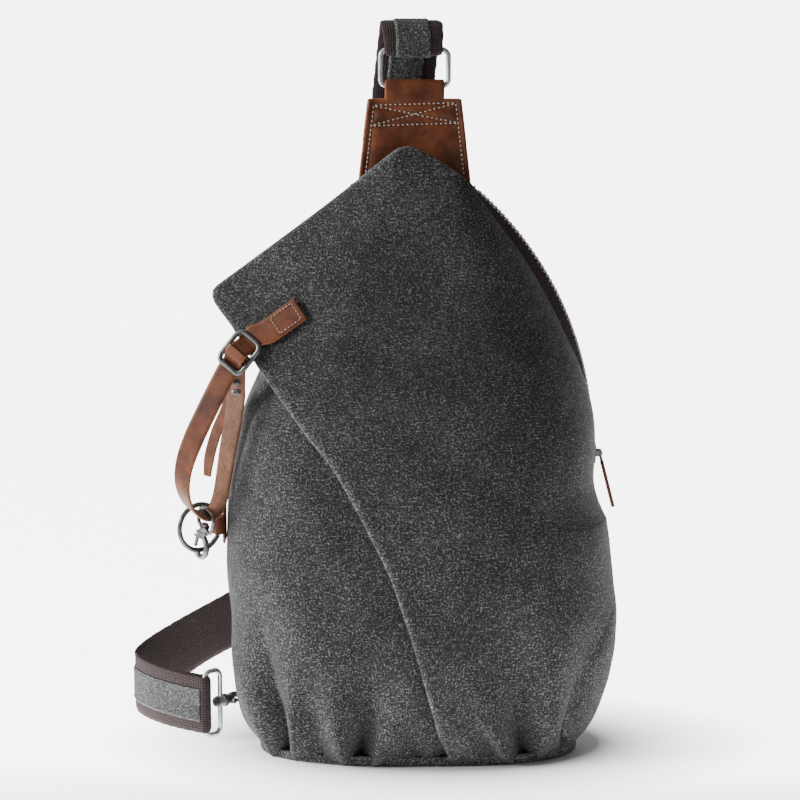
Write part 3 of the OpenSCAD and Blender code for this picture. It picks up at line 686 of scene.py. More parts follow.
def wing_y(x, z):
    c = crease_x(z)
    run = c - x
    return skin(front_angle(c, z, tucked_half), z, 0, tucked_half)[..., 1] - FLAP_Y + 0.2 * run + 0.0013 * run * run


def right_edge_angle(z):
    """Where the front panel ends on the right: the low seam, then the edge beside the zip."""
    if z < 95:
        return float(front_angle(np.array(low_seam(z)), np.array(float(z))))
    slot = 8 + max(0, 150 - z) * 0.13
    upper = float(right_front_angle(slot, np.array(float(z))))
    if z < 125:
        lower = float(front_angle(np.array(right_half(np.array(float(z))) - 1.2), np.array(float(z))))
        t = (z - 95) / 30
        return lower * (1 - t) + upper * t
    return upper


EDGE_Z = np.arange(0, 316, 1.0)


def smoothed_edge():
    """The right edge's angle by height, softened where the low seam turns into the zip's edge."""
    sharp = np.array([right_edge_angle(float(z)) for z in EDGE_Z])
    k = np.exp(-0.5 * (np.arange(-24, 25) / 8.0) ** 2)
    soft = np.convolve(np.pad(sharp, 24, "edge"), k / k.sum(), "valid")
    near = np.exp(-((EDGE_Z - 100) / 34.0) ** 4)
    return sharp * (1 - near) + soft * near


EDGE_ANGLE = smoothed_edge()


def front_right_angle(z):
    return float(np.interp(z, EDGE_Z, EDGE_ANGLE))


def shape_field(p, seed):
    """Soft unevenness of filled canvas, away from the normal, in millimetres."""
    broad = smooth_noise(p, 105, seed) * 1.0
    middle = smooth_noise(p, 44, seed + 1) * 0.42
    fine = smooth_noise(p * np.array([1, 1, 0.6]), 15, seed + 2) * 0.10
    return broad + middle + fine


def front_canvas():
    rows = []
    heights = np.concatenate([np.arange(0.9, 262, 1.5), np.arange(262, 331, 1.5), np.arange(331, 339.6, 0.6)])
    for z in heights:
        z = float(z)
        line = []
        za = np.array(z)
        if z < HINGE_LOW:
            start = float(hem_x(z))
        else:
            start = float(crease_x(z))
            left = float(wing_x(z))
            xs = np.linspace(left, start, max(3, int((start - left) / 1.0)), endpoint=False)
            if left < start:
                line += [(x, float(wing_y(np.array(x), za)), z) for x in xs]
            else:
                start = left
        if z < 314.5:
            end = front_right_angle(z)
        else:
            end = float(front_angle(np.array(float(top_right_x(z))), za, tucked_half))
        a = np.linspace(float(front_angle(np.array(start), za, tucked_half)), end, 160)
        pts = skin(a, za, 0, tucked_half)
        run = np.concatenate([[0], np.cumsum(np.linalg.norm(np.diff(pts, axis=0), axis=1))])
        pts[:, 1] -= FLAP_Y * np.exp(-run / 16)
        rows.append(np.array(line + pts.tolist()))
    p = along_rows(rows, 170)
    n = grid_normals(p)
    x, z = p[..., 0], p[..., 2]
    shift = pleat_shift(x, z, FRONT_PLEATS) * (z < 120)
    on_wing = np.clip((crease_x(z) - x) / 25, 0, 1) * (z > HINGE_LOW)
    calm = np.clip(z / 14, 0.15, 1) * (1 - 0.55 * on_wing)
    # The edge beside the zip stays close to the tape
    calm = calm * np.clip(np.linalg.norm(p - p[:, -1:], axis=-1) / 22, 0.1, 1)
    shift = shift + shape_field(p, 11) * calm
    # The open slack under the wing's root and the pull from the tab
    pull = np.exp(-(((x + 70) / 20) ** 2 + ((z - 248) / 17) ** 2))
    shift = shift - 1.0 * pull * on_wing
    p = p + n * shift[..., None]
    # Both long free edges roll back a little
    gap = np.linalg.norm(p - p[:, :1], axis=-1)
    p = p - grid_normals(p) * (0.9 * np.exp(-(gap / 2.2) ** 2))[..., None]
    return p


# ---- front and wing, one cloth
front = sheet("front_canvas", front_canvas(), 2.2, [CANVAS, CANVAS_DARK], wear_edges=0.55, wear_size=1.3,
              slots=(0, 1, 0))
finish_piece(front, ["front_panel", "front_flap"])


def crease_point(z, off):
    """A point off millimetres from the crease towards the wing, in metres."""
    x = float(crease_x(z))
    y = float(wing_y(np.array(x), np.array(float(z))))
    return ((x - 0.951 * off) * MM, y * MM, (z + 0.309 * off) * MM)


FOLD_START, FOLD_END = crease_point(250, 1), crease_point(250, 20)
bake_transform(front)

# ---- left panel, tucked under the hem and the wing


def left_canvas():
    rows = []
    for z in np.arange(0.9, 319, 1.7):
        za = np.array(float(z))
        back = 180 - float(right_back_angle(np.array(min(18, (back_face(z) - side_line(z)) * 0.75)), za))
        under = (float(hem_x(z)) if z < HINGE_LOW else float(crease_x(z)) + 2) + 16
        front_end = float(front_angle(np.array(min(under, -2.0) if z > 150 else under), za))
        a = np.linspace(back, front_end, 220)
        rows.append(skin(a, za))
    p = along_rows(rows, 150)
    n = grid_normals(p)
    x, z = p[..., 0], p[..., 2]
    hem = np.where(z < HINGE_LOW, hem_x(z), crease_x(z))
    under = np.clip((x - hem + 24) / 24, 0, 1)
    front_side = np.clip((side_line(z) - p[..., 1]) / 12, 0, 1)
    shift = pleat_shift(x, z, FRONT_PLEATS) * front_side * (z < 120)
    shift = shift + shape_field(p, 31) * np.clip(z / 14, 0.15, 1)
    shift = shift - 2.6 * under * front_side
    # Sunk where the wing's shadow lies, so that the wing stands off it
    shift = shift - 2.0 * front_side * np.clip((z - 190) / 30, 0, 1)
    seam = np.linalg.norm(p - p[:, :1], axis=-1)
    shift = shift - 1.1 * np.exp(-(seam / 3.0) ** 2)
    return p + n * shift[..., None]


left = sheet("left_canvas", left_canvas(), 1.6, [CANVAS, CANVAS_DARK], slots=(0, 1, 0))
finish_piece(left, ["left_panel"], "root")

# ---- right gusset


def gusset_canvas():
    rows = []
    for z in np.arange(0.9, 150, 1.7):
        za = np.array(float(z))
        slot = 8 + max(0, 150 - z) * 0.13
        start = front_right_angle(z) - 2.2
        end = 360 + float(right_back_angle(np.array(slot), za))
        rows.append(skin(np.linspace(start, end, 160), za))
    p = along_rows(rows, 60)
    n = grid_normals(p)
    first = np.linalg.norm(p - p[:, :1], axis=-1)
    last = np.linalg.norm(p - p[:, -1:], axis=-1)
    shift = shape_field(p, 51) * 0.8 * np.clip(p[..., 2] / 14, 0.1, 1)
    shift = shift - 2.4 * np.exp(-(first / 9.0) ** 2) - 1.0 * np.exp(-(last / 3.0) ** 2)
    return p + n * shift[..., None]


gusset = sheet("gusset_canvas", gusset_canvas(), 1.6, [CANVAS, CANVAS_DARK], slots=(0, 1, 0))
finish_piece(gusset, ["right_gusset"], "root")

# ---- padded back


def back_canvas():
    rows = []
    for z in np.arange(0.9, 338.5, 2.0):
        za = np.array(float(z))
        deep = float(back_face(z) - side_line(z))
        slot = 8 + max(0, 150 - z) * 0.13
        start = float(right_back_angle(np.array(min(slot, deep * 0.6)), za))
        end = 180 - float(right_back_angle(np.array(min(18, deep * 0.75)), za))
        rows.append(skin(np.linspace(start, end, 200), za))
    p = along_rows(rows, 130)
    n = grid_normals(p)
    x, z = p[..., 0], p[..., 2]
    gap = np.minimum(np.linalg.norm(p - p[:, :1], axis=-1), np.linalg.norm(p - p[:, -1:], axis=-1))
    # The foam's border: a stitched channel inside the seams
    facing = np.clip(n[..., 1] * 1.6 - 0.5, 0, 1)
    half = np.interp(z, [0, 60, 150, 240, 300, 320], [70, 78, 74, 54, 30, 18])
    border = np.minimum(half - np.abs(x - 2), np.minimum(z - 16, 306 - z))
    channel = np.exp(-(border / 2.4) ** 2) * facing
    crown = 1.7 * np.clip(border / 14, 0, 1) ** 0.6 * facing
    shift = shape_field(p, 71) * 0.7 * np.clip(z / 14, 0.1, 1) + crown - 1.3 * channel
    shift = shift - 1.0 * np.exp(-(gap / 3.0) ** 2)
    return p + n * shift[..., None]


back = sheet("back_canvas", back_canvas(), 1.8, [CANVAS, CANVAS_DARK], slots=(0, 1, 0))
finish_piece(back, ["back_panel"], "root")

# ---- binding round the bottom edge


def piping():
    angles = np.arange(0, 360, 1.5)
    profile = [(-0.6, 0.45), (0.9, 0.45), (1.5, 0.9), (1.75, 2.2), (1.6, 3.9), (1.0, 5.0), (0.0, 5.5), (-0.8, 5.4)]
    ring = skin(angles, np.full(len(angles), 3.0))
    out = skin(angles, np.full(len(angles), 3.0), -1.0) - ring
    out /= np.linalg.norm(out, axis=1, keepdims=True)
    wave = smooth_noise(ring, 24, 91) * 0.10
    verts = np.array([[ring[i] * [1, 1, 0] + out[i] * (r + wave[i]) + [0, 0, z + (wave[i] if z > 2 else 0)]
                       for (r, z) in profile] for i in range(len(angles))])
    n, m = verts.shape[:2]
    faces = [(i * m + k, ((i + 1) % n) * m + k, ((i + 1) % n) * m + (k + 1) % m, i * m + (k + 1) % m)
             for i in range(n) for k in range(m)]
    length = np.concatenate([[0], np.cumsum(np.linalg.norm(np.diff(ring, axis=0), axis=1))])
    uv = np.stack([np.repeat(length[:, None], m, 1), np.tile(np.arange(m) * 1.3, (n, 1))], -1)
    # The binding is made paler along its upper outer shoulder and not at all on its underside
    worn = np.tile([0, 0, .1, .2, .5, .8, .3, 0], (n, 1))
    return as_object("base_binding", verts.reshape(-1, 3), faces, [CANVAS], uv.reshape(-1, 2), worn.ravel())


binding = piping()
finish_piece(binding, ["base_piping"], "root")

# ---- lining, well inside the folds of the canvas


def lining_shell():
    heights = np.arange(6, 316, 4.0)
    angles = np.linspace(0, 360, 181)
    rows = []
    for z in heights:
        room = min(side_line(z) - front_face(z), back_face(z) - side_line(z))
        rows.append(skin(angles, np.full(len(angles), z), min(19.5, 0.62 * float(room)), tucked_half))
    floor_mid = rows[0].mean(0)
    rows = [floor_mid + (rows[0] - floor_mid) * k for k in (0.03, 0.4, 0.75)] + rows
    return np.array(rows)


lining = sheet("lining_shell", lining_shell(), 0.8, [LINING])
finish_piece(lining, ["lining"], "root")

# ---------------------------------------------------------------- zip

TOOTH_PITCH = 0.9
ZIP_LOW, ZIP_HIGH = -4.0, 49.0


def on_zip(angle, r, h):
    """A point of the zip: angle in degrees round the arc, radius, and distance towards the front."""
    a = np.radians(angle)
    c, s = np.cos(ZIP_LEAN), np.sin(ZIP_LEAN)
    y = r * np.sin(a)
    return np.stack(np.broadcast_arrays(ZIP_CENTRE[0] + r * np.cos(a), ZIP_CENTRE[1] - h * c - y * s,
                                        ZIP_CENTRE[2] - h * s + y * c), -1)


def tape(name, side, node):
    angles = np.arange(ZIP_LOW, ZIP_HIGH + 0.01, 0.5)
    hs = np.array([0.5, 1.6, 2.8, 3.2, 5.0, 7.0, 9.0, 11.5, 13.0])
    grid = []
    for a in angles:
        z = ZIP_CENTRE[2] + ZIP_R * math.sin(math.radians(a))
        sink = (float(zip_tuck(z)) + 1.2) if side > 0 else 1.2
        r = ZIP_R - 3.1 - np.clip((hs - 3) / 7, 0, 1.2) * sink
        grid.append(on_zip(a, r, side * hs))
    grid = np.array(grid)
    if side < 0:
        grid = grid[:, ::-1]
    obj = sheet(name, grid, 0.9, [TAPE], wear_edges=0.2, wear_size=0.6)
    finish_piece(obj, [node], "root")


tape("zip_tape_f", 1, "zip_tape_front")
tape("zip_tape_r", -1, "zip_tape_rear")


def teeth(name, side, node):
    verts, faces = [], []
    # Sections from the root on the tape to the head past the middle: (h, half length, low r, high r)
    sections = [(3.15, 0.50, -3.25, -1.35), (2.9, 0.62, -3.3, -1.1), (1.3, 0.64, -3.3, -1.0),
                (0.9, 0.50, -3.1, -1.15), (0.1, 0.50, -3.0, -1.15), (-0.2, 0.66, -3.05, -1.1),
                (-0.85, 0.60, -3.0, -1.2), (-1.0, 0.42, -2.8, -1.4)]
    for k, a in enumerate(np.arange(ZIP_LOW + 0.6, ZIP_HIGH - 0.55, TOOTH_PITCH)):
        mid = a + side * TOOTH_PITCH / 4
        base = len(verts)
        for h, half, low, high in sections:
            turn = math.degrees(half / ZIP_R)
            for da, r in ((-1, low), (1, low), (1.15, (low + high) / 2), (0.85, high), (-0.85, high),
                          (-1.15, (low + high) / 2)):
                verts.append(on_zip(mid + da * turn, ZIP_R + r, side * h))
        m = 6
        for i in range(len(sections) - 1):
            for q in range(m):
                x0, x1 = base + i * m + q, base + i * m + (q + 1) % m
                face = (x0, x1, x1 + m, x0 + m)
                faces.append(face if side < 0 else face[::-1])
        cap0 = tuple(base + q for q in range(m))
        cap1 = tuple(base + (len(sections) - 1) * m + q for q in range(m))
        faces.append(cap0[::-1] if side < 0 else cap0)
        faces.append(cap1 if side < 0 else cap1[::-1])
    obj = as_object(name, verts, faces, [ZIP_METAL], smooth=False)
    finish_piece(obj, [node], "root")


teeth("zip_teeth_f", 1, "zip_teeth_front")
teeth("zip_teeth_r", -1, "zip_teeth_rear")

# ---------------------------------------------------------------- leather patch at the top

HINGE = (0, 4, 371.8)
PATCH_FRONT = 0.3
PATCH_TOP, PATCH_LOW = 365.0, 320.0
TONGUE = 16.0


def patch_half(z):
    return 25.2 + (PATCH_TOP - z) * 0.118


PATCH_SEAMS = [((-22.3, 361.6), (22.6, 363.0)), ((-23.2, 350.3), (23.8, 351.8)), ((-22.0, 361.2), (23.6, 352.0)),
               ((-23.0, 350.6), (22.4, 362.6)), ((-22.4, 361.8), (-26.9, 324)), ((22.8, 363.0), (27.4, 323))]


def seam_gap(x, z, seams):
    """Distance to the nearest seam."""
    best = np.full(np.broadcast(x, z).shape, 1e9)
    for (x0, z0), (x1, z1) in seams:
        d = np.array([x1 - x0, z1 - z0])
        t = np.clip(((x - x0) * d[0] + (z - z0) * d[1]) / (d @ d), 0, 1)
        best = np.minimum(best, np.hypot(x - x0 - t * d[0], z - z0 - t * d[1]))
    return best


def patch_height(x, z):
    """How far the leather stands forward of its flat plane."""
    gap = seam_gap(x, z, PATCH_SEAMS)
    inside = (z > 350) & (z < 363.5) & (np.abs(x) < 25)
    puff = np.where(inside, 1.6, 0.7) * (1 - np.exp(-(gap / 3.4) ** 2))
    wave = 0.28 * np.sin(x * 0.16 + z * 0.09) + 0.2 * np.sin(x * 0.07 - z * 0.21 + 1.0)
    return puff + wave * np.clip((patch_half(z) - np.abs(x)) / 6, 0, 1) - 0.35 * np.exp(-(gap / 0.8) ** 2)


def patch():
    # The route up the front, round the ring's bar and down behind: (y, z, outward y, outward z)
    route = [(PATCH_FRONT, z, -1, 0) for z in np.arange(PATCH_LOW, HINGE[2], 0.7)]
    rows_on_plate = sum(1 for r in route if r[1] <= PATCH_TOP)
    outer_r = 3.7
    for a in np.arange(0, 181, 12):
        c, s = math.cos(math.radians(180 - a)), math.sin(math.radians(180 - a))
        route.append((HINGE[1] + outer_r * c, HINGE[2] + outer_r * s, c, s))
    route += [(HINGE[1] + outer_r, z, 1, 0) for z in np.arange(HINGE[2] - 1.5, 344, -1.5)]
    wing_cols, mid_cols = 12, 34
    grid = []
    for y, z, oy, oz in route:
        half = patch_half(min(z, PATCH_TOP)) if oy < 0 else TONGUE + 9
        x = np.concatenate([np.linspace(-half, -TONGUE, wing_cols, endpoint=False),
                            np.linspace(-TONGUE, TONGUE, mid_cols), np.linspace(TONGUE, half, wing_cols + 1)[1:]])
        lift = patch_height(x, np.full_like(x, z)) if oy < 0 and z < PATCH_TOP + 3 else 0.3 * np.cos(x / TONGUE * 1.3)
        if oy < 0 and z >= PATCH_TOP - 2:
            t = min(1, (z - PATCH_TOP + 2) / 5)
            lift = lift * (1 - t) + 0.3 * np.cos(x / TONGUE * 1.3) * t
        grid.append(np.stack([x, y + oy * lift, z + oz * lift], -1))
    grid = np.array(grid)
    rows, cols = grid.shape[:2]
    keep = np.ones((rows - 1, cols - 1), bool)
    keep[rows_on_plate - 1:, :wing_cols] = False
    keep[rows_on_plate - 1:, -wing_cols:] = False
    return sheet("patch", grid, 1.9, [LEATHER, SUEDE, LEATHER_EDGE], wear_edges=0.55, wear_size=1.0, slots=(0, 1, 2),
                 keep=keep, bulge=0.25)


patch_piece = patch()
finish_piece(patch_piece, ["top_patch"], "root")


def seam_line(x0, z0, x1, z1):
    t = np.linspace(0, 1, 60)
    x, z = x0 + (x1 - x0) * t, z0 + (z1 - z0) * t
    y = PATCH_FRONT - patch_height(x, z)
    return np.stack([x, y, z], -1), np.tile([0, -1.0, 0], (60, 1))


for i, ((x0, z0), (x1, z1)) in enumerate(PATCH_SEAMS):
    line, nrm = seam_line(x0, z0, x1, z1)
    # Light thread dashes, and near-black dashes in the gaps between them as painted shade in the needle holes
    for tag, mat, length, radius, phase in (("", THREAD, 1.6, 0.42, 0), ("_dark", STITCH_HOLE_SHADE, 0.9, 0.36, 0.5)):
        thread = stitches(f"patch_stitch{tag}_{i}", line, nrm, mat, pitch=2.5, length=length, radius=radius,
                          phase=phase)
        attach(thread, "root")

BACK_PATCH_Y = HINGE[1] + 1.4 + 2 + 2.3
back_rows = []
for z in np.arange(341, 364.1, 1.0):
    half = 25.5 + (364 - z) * 0.12
    xs = np.linspace(half, -half, 50)
    back_rows.append(np.stack([xs, np.full(50, BACK_PATCH_Y) + 0.3 * np.cos(xs / 18), np.full(50, z)], -1))
patch_back = sheet("patch_rear", np.array(back_rows), 1.6, [LEATHER, SUEDE, LEATHER_EDGE], wear_edges=0.5,
                   wear_size=1.0, slots=(0, 1, 2))
finish_piece(patch_back, ["top_patch_back"], "root")

# ---------------------------------------------------------------- shoulder strap

WEB_W, WEB_T = 34, 2.0
STRIP_W, STRIP_T = 19, 0.7
WIRE_R = 1.4
RING_H = 20.2
BAR_Z = HINGE[2] + RING_H
FOLD_R = WIRE_R + 0.3 + WEB_T / 2
ARCH_MID = (8.8, 399.2)
CUT_Z = 367


def lean_x(z):
    return -2 - 0.11 * (408 - z)


def arch_arc(r, start, end, n):
    """Over the top: it leans with the strap behind and comes square to the ring in front."""
    out = []
    for i in range(n + 1):
        deg = start + (end - start) * i / n
        a = math.radians(deg)
        z = ARCH_MID[1] + r * math.sin(a)
        top = lean_x(ARCH_MID[1] + r)
        x = lean_x(z) if deg < 90 else top + (-0.6 - top) * (deg - 90) / 90
        out.append([x, ARCH_MID[0] + r * math.cos(a), z])
    return out


ARCH = ([[lean_x(CUT_Z), 18.8, CUT_Z], [lean_x(377), 17.8, 377], [lean_x(388), 17, 388]] + arch_arc(7.8, 0, 180, 8)
        + [[-0.5, HINGE[1] + FOLD_R * math.cos(math.radians(a)), BAR_Z + FOLD_R * math.sin(math.radians(a))]
           for a in range(180, 361, 30)]
        + arch_arc(4.9, 165, 0, 7)
        + [[lean_x(388), 13.9, 388], [lean_x(377), 14.3, 377], [lean_x(CUT_Z), 15, CUT_Z]])


def strap_band(name, route, sides, replaced, steps, lo=-WEB_T / 2, hi=WEB_T / 2, width=WEB_W, mat=None,
               cols=13, ripple=0.14, round_edge=0.9, wear=0.35, level=None, drawn=None):
    obj, frames = band(name, route, sides, width, lo, hi, [mat or WEBBING], steps=steps, cols=cols, ripple=ripple,
                       round_edge=round_edge, wear=wear, wear_size=1.1, level=level, drawn=drawn)
    return finish_piece(obj, replaced), frames


def strip_threads(name, frames, across_at, lift):
    """Rows of stitching down both edges of a strip."""
    r, along, across, up, _ = frames
    out = []
    for s in (-1, 1):
        line = r + across * (across_at * s) + up * lift
        out.append(stitches(f"{name}_{'l' if s < 0 else 'r'}", line, up, THREAD_GREY, pitch=2.6, length=1.9,
                            radius=0.24, lift=0.05))
    return out


RUN_TOP, RUN_LOW = np.array([-18, 48.5, 250]), np.array([-29, 64.5, 120])
RUN_UP = (RUN_TOP - RUN_LOW) / np.linalg.norm(RUN_TOP - RUN_LOW)
RUN_SIDE = [0.996, 0, -0.084]
OUTER = ([[lean_x(CUT_Z) - 0.1, 18.9, CUT_Z - 0.6], [-8.6, 23.5, 345], [-11.5, 34.5, 305], [-15.2, 43.2, 276],
          RUN_TOP.tolist(), ((RUN_TOP + RUN_LOW) / 2).tolist(), RUN_LOW.tolist(), [-35, 67, 102], [-50, 69, 86],
          [-76, 70, 70], [-103, 69, 56], [-128, 66, 43], [-148, 61, 31], [-159, 54, 24], [-162, 46, 22],
          [-158.5, 36, 21.6], [-152, 25, 21.6], [-143, 14, 21.6], [-133, 4.6, 21.6], [-126, -0.8, 21.6],
          [-120.9, -4.5, 21.6], [-119.3, -5.1, 21.6], [-117.2, -4.3, 21.6], [-116.5, -2.4, 21.6],
          [-117.6, -0.3, 21.6], [-120.4, 1.2, 21.6], [-124.4, 2.6, 21.6], [-131.4, 7, 21.6], [-138, 12.6, 21.6]])
TURN_SIDES = [[0.93, 0, -0.3], [0.75, 0.1, -0.6], [0.48, 0.2, -0.85], [0.4, 0.28, -0.87], [0.3, 0.28, -0.9],
              [0.16, 0.12, -0.98]]
OUTER_SIDES = [[1, 0, 0] if i < 3 else RUN_SIDE if i < 7 else TURN_SIDES[i - 7] if i < 13 else [0, 0, -1]
               for i in range(len(OUTER))]

# The doubled layer comes back from the ring to the adjuster
PARK_UP = 50
INNER_END = RUN_LOW + RUN_UP * (PARK_UP + 24) - [0, 2.6, 0]
INNER_TOP = RUN_TOP - [0, 2.6, 0]
UPPER = [[lean_x(CUT_Z), 15, CUT_Z - 0.6], [-8.6, 19.8, 345], [-11.5, 31, 305], [-15.2, 40, 276], INNER_TOP.tolist()]
UPPER_SIDES = [[1, 0, 0], [1, 0, 0], RUN_SIDE, RUN_SIDE, RUN_SIDE]

# One webbing from the hook's wire up behind the bag, round the top ring and back down.
# The strip stops before the wire.
STRAP = OUTER[::-1] + ARCH[1:-1] + UPPER
STRAP_SIDES = OUTER_SIDES[::-1] + [[1, 0, 0]] * (len(ARCH) - 2) + UPPER_SIDES
AT_ARCH = len(OUTER) - 1
IS_ARCH = [float(AT_ARCH <= i <= AT_ARCH + len(ARCH) - 1) for i in range(len(STRAP))]
RING_AT = AT_ARCH + 15
WIRE_AT = 7
DRAWN = [2.6 * math.exp(-((i - RING_AT) / 4.2) ** 4) + 1.1 * math.exp(-((i - WIRE_AT) / 4.0) ** 4)
         for i in range(len(STRAP))]
STRIP_FROM = len(OUTER) - 21
strap, _ = strap_band("strap_webbing", STRAP, STRAP_SIDES, ["strap_outer", "strap_arch", "strap_inner"], 8,
                                 level=IS_ARCH, drawn=DRAWN)
strip, strip_frames = strap_band("strap_strip", STRAP[STRIP_FROM:], STRAP_SIDES[STRIP_FROM:],
                                 ["strap_outer_strip", "strap_arch_strip", "strap_inner_strip"], 8, lo=WEB_T / 2,
                                 hi=WEB_T / 2 + STRIP_T + 0.15, width=STRIP_W, mat=STRIP,
                                 ripple=0.1, wear=0.6, level=IS_ARCH[STRIP_FROM:])
for piece in [strap, strip] + strip_threads("strap_thread", strip_frames, STRIP_W / 2 - 1.5,
                                            WEB_T / 2 + STRIP_T + 0.15):
    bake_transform(piece)
LOWER = [INNER_TOP.tolist(), ((INNER_TOP + INNER_END) / 2).tolist(), INNER_END.tolist()]
lower, _ = strap_band("strap_inner_lower", LOWER, [RUN_SIDE] * 3, ["strap_inner"], 6)
lower_strip, _ = strap_band("strap_inner_lower_strip", LOWER, [RUN_SIDE] * 3, ["strap_inner_strip"], 6, lo=WEB_T / 2,
                            hi=WEB_T / 2 + STRIP_T, width=STRIP_W, mat=STRIP, ripple=0.1)
for piece in (lower, lower_strip):
    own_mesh(piece)
    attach(piece, "root")

# Its sewn end round the adjuster's bar
ADJ_O = RUN_LOW + RUN_UP * PARK_UP
ADJ_X = np.array(RUN_SIDE) / np.linalg.norm(RUN_SIDE)
ADJ_Z = RUN_UP - (RUN_UP @ ADJ_X) * ADJ_X
ADJ_Z /= np.linalg.norm(ADJ_Z)
ADJ_Y = np.cross(ADJ_Z, ADJ_X)
BAR_Y = -5.4


def in_adjuster(y, z):
    return (ADJ_O + ADJ_Y * y + ADJ_Z * z).tolist()


FOLD = ([in_adjuster(BAR_Y + 2.8, z) for z in (23, 16, 8, 3)]
        + [in_adjuster(BAR_Y + 2.8 * math.cos(math.radians(a)), -2.8 * math.sin(math.radians(a))) for a in
           range(0, 181, 30)] + [in_adjuster(BAR_Y - 2.8, z) for z in (4, 8, 12)])
fold, _ = strap_band("strap_fold", FOLD, [ADJ_X.tolist()] * len(FOLD), ["strap_inner_fold"], 4)
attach(fold, "adjuster")

# ---------------------------------------------------------------- wing tab, closing strap


def unit(v):
    v = np.asarray(v, float)
    return v / np.linalg.norm(v)


BUCKLE_MID = np.array([-95.5, -39.5, 230])
BUCKLE_ALONG = unit([-0.62, -0.05, -0.78])
BUCKLE_OUT = unit([-0.284, -0.916, 0.283])
BUCKLE_ACROSS = np.cross(BUCKLE_OUT, BUCKLE_ALONG)
CLOSER_W = 12.6


def near_buckle(u, w):
    return (BUCKLE_MID + BUCKLE_ALONG * u + BUCKLE_OUT * w).tolist()


TAB = ([[-62, -39.6, 254.2], [-73.5, -39.1, 246], [-80.5, -38.7, 241.2]]
       + [near_buckle(u, w) for u, w in [(-12, -1.5), (-9.5, -2.1), (-6.5, -1.7), (-3.6, 0.3), (-1.8, 1.9), (0, 2.4),
                                         (1.7, 1.7), (2.4, 0), (1.7, -1.7), (0, -2.4), (-1.2, -2.6)]])


def tab_width(t):
    return np.interp(t, [0, 0.42, 0.5, 0.6, 1], [14.6, 14.2, 12.6, CLOSER_W - 0.4, CLOSER_W - 0.8])


tab, tab_frames = band("wing_tab", TAB, [BUCKLE_ACROSS.tolist()] * len(TAB), tab_width, -0.85, 0.85,
                       [LEATHER, SUEDE, LEATHER_EDGE], steps=8, cols=15, round_edge=0.5, crown=0.12, slots=(0, 1, 2),
                       wear=0.6, wear_size=0.8)
finish_piece(tab, ["flap_tab"], "flap")

r, along, across, up, run = tab_frames
FACE = 1 if (up[2] @ BUCKLE_OUT) > 0 else -1
inside = (run > 2.0) & (run < 17.5)
box_half = 5.2
rect = [r[inside] + across[inside] * s * box_half + up[inside] * FACE * 0.95 for s in (-1, 1)]
tab_lines = [rect[0], rect[1]]
for end in (0, -1):
    t = np.linspace(0, 1, 20)[:, None]
    tab_lines.append(rect[0][end] * (1 - t) + rect[1][end] * t)
for i, line in enumerate(tab_lines):
    thread = stitches(f"wing_tab_stitch_{i}", line, np.tile(up[6] * FACE, (len(line), 1)), THREAD, pitch=2.0,
                      length=1.45, radius=0.3)
    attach(thread, "flap")

CLOSER = ([near_buckle(u, w) for u, w in [(-1, 4.5), (2.8, 3.6), (5.4, 0.6), (7.8, -2.2), (10, -3.1), (13, -2.9)]]
          + [[-108, -38, 209], [-115, -38, 195], [-121.5, -37.5, 181], [-126.5, -36, 167], [-128, -33, 154],
             [-125.5, -29, 143.5], [-120.6, -25, 137.3], [-115.8, -21.6, 135.4], [-111.3, -18.6, 137.6],
             [-108.4, -16, 144.5], [-106.3, -15, 156], [-103.8, -16, 172], [-100.5, -19.5, 189], [-98, -25, 204],
             [-97.6, -30.5, 213], [-97.4, -34, 220], [-97, -35.3, 224.4], near_buckle(1.5, -4.7)])


def closer_side(i):
    t = 0 if i < 8 else (i - 8) / 4 if i < 12 else 1 if i < 15 else max(0, (20 - i) / 6)
    return ((1 - t) * BUCKLE_ACROSS + t * np.array([0.54, -0.77, -0.3])).tolist()


closer, _ = band("closing_strap", CLOSER, [closer_side(i) for i in range(24)], CLOSER_W, -0.9, 0.9,
                             [LEATHER, SUEDE, LEATHER_EDGE], steps=8, cols=13, round_edge=0.5, slots=(0, 1, 2),
                             wear=0.7, wear_size=0.9)
TAIL = [[-100.6, -18.8, 208], [-104.6, -11.6, 194], [-110.6, -7.8, 180], [-114.6, -6.8, 166], [-116, -7, 155]]
tail, _ = band("closing_tail", TAIL, [[0.6, -0.75, -0.2]] * 5, lambda t: np.interp(t, [0, 0.85, 1], [9, 9, 6.5]),
               -0.8, 0.8, [LEATHER, SUEDE, LEATHER_EDGE], steps=8, cols=9, round_edge=0.5, slots=(0, 1, 2), wear=0.7)
studs_v, studs_f = [], []
for centre in ((-98, -32.2, 212.6), (-98.1, -29.4, 206.6)):
    z_axis = unit([-0.25, -0.93, 0.26])
    x_axis = unit(np.array([0, 0, 1]) - z_axis[2] * z_axis)
    y_axis = np.cross(z_axis, x_axis)
    base = len(studs_v)
    rings = [(0.0, 1.0), (0.7, 1.0), (1.1, 0.86), (1.3, 0.6)]
    for h, k in rings:
        for q in range(20):
            a = q * math.pi / 10
            studs_v.append(np.array(centre) + z_axis * h + k * (
                x_axis * 1.5 * spow(math.cos(a), 0.45) + y_axis * 2.6 * spow(math.sin(a), 0.45)))
    for i in range(len(rings) - 1):
        for q in range(20):
            studs_f.append((base + i * 20 + q, base + i * 20 + (q + 1) % 20, base + (i + 1) * 20 + (q + 1) % 20,
                            base + (i + 1) * 20 + q))
    studs_f.append(tuple(base + 60 + q for q in range(20)))
    studs_f.append(tuple(base + q for q in range(19, -1, -1)))
studs = as_object("closing_studs", studs_v, studs_f, [GUNMETAL])
for piece, node in ((closer, "flap_strap"), (tail, "flap_strap_tail"), (studs, "flap_rivets")):
    finish_piece(piece, [node])
    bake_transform(piece)

# ---------------------------------------------------------------- CAD nodes that keep their shape

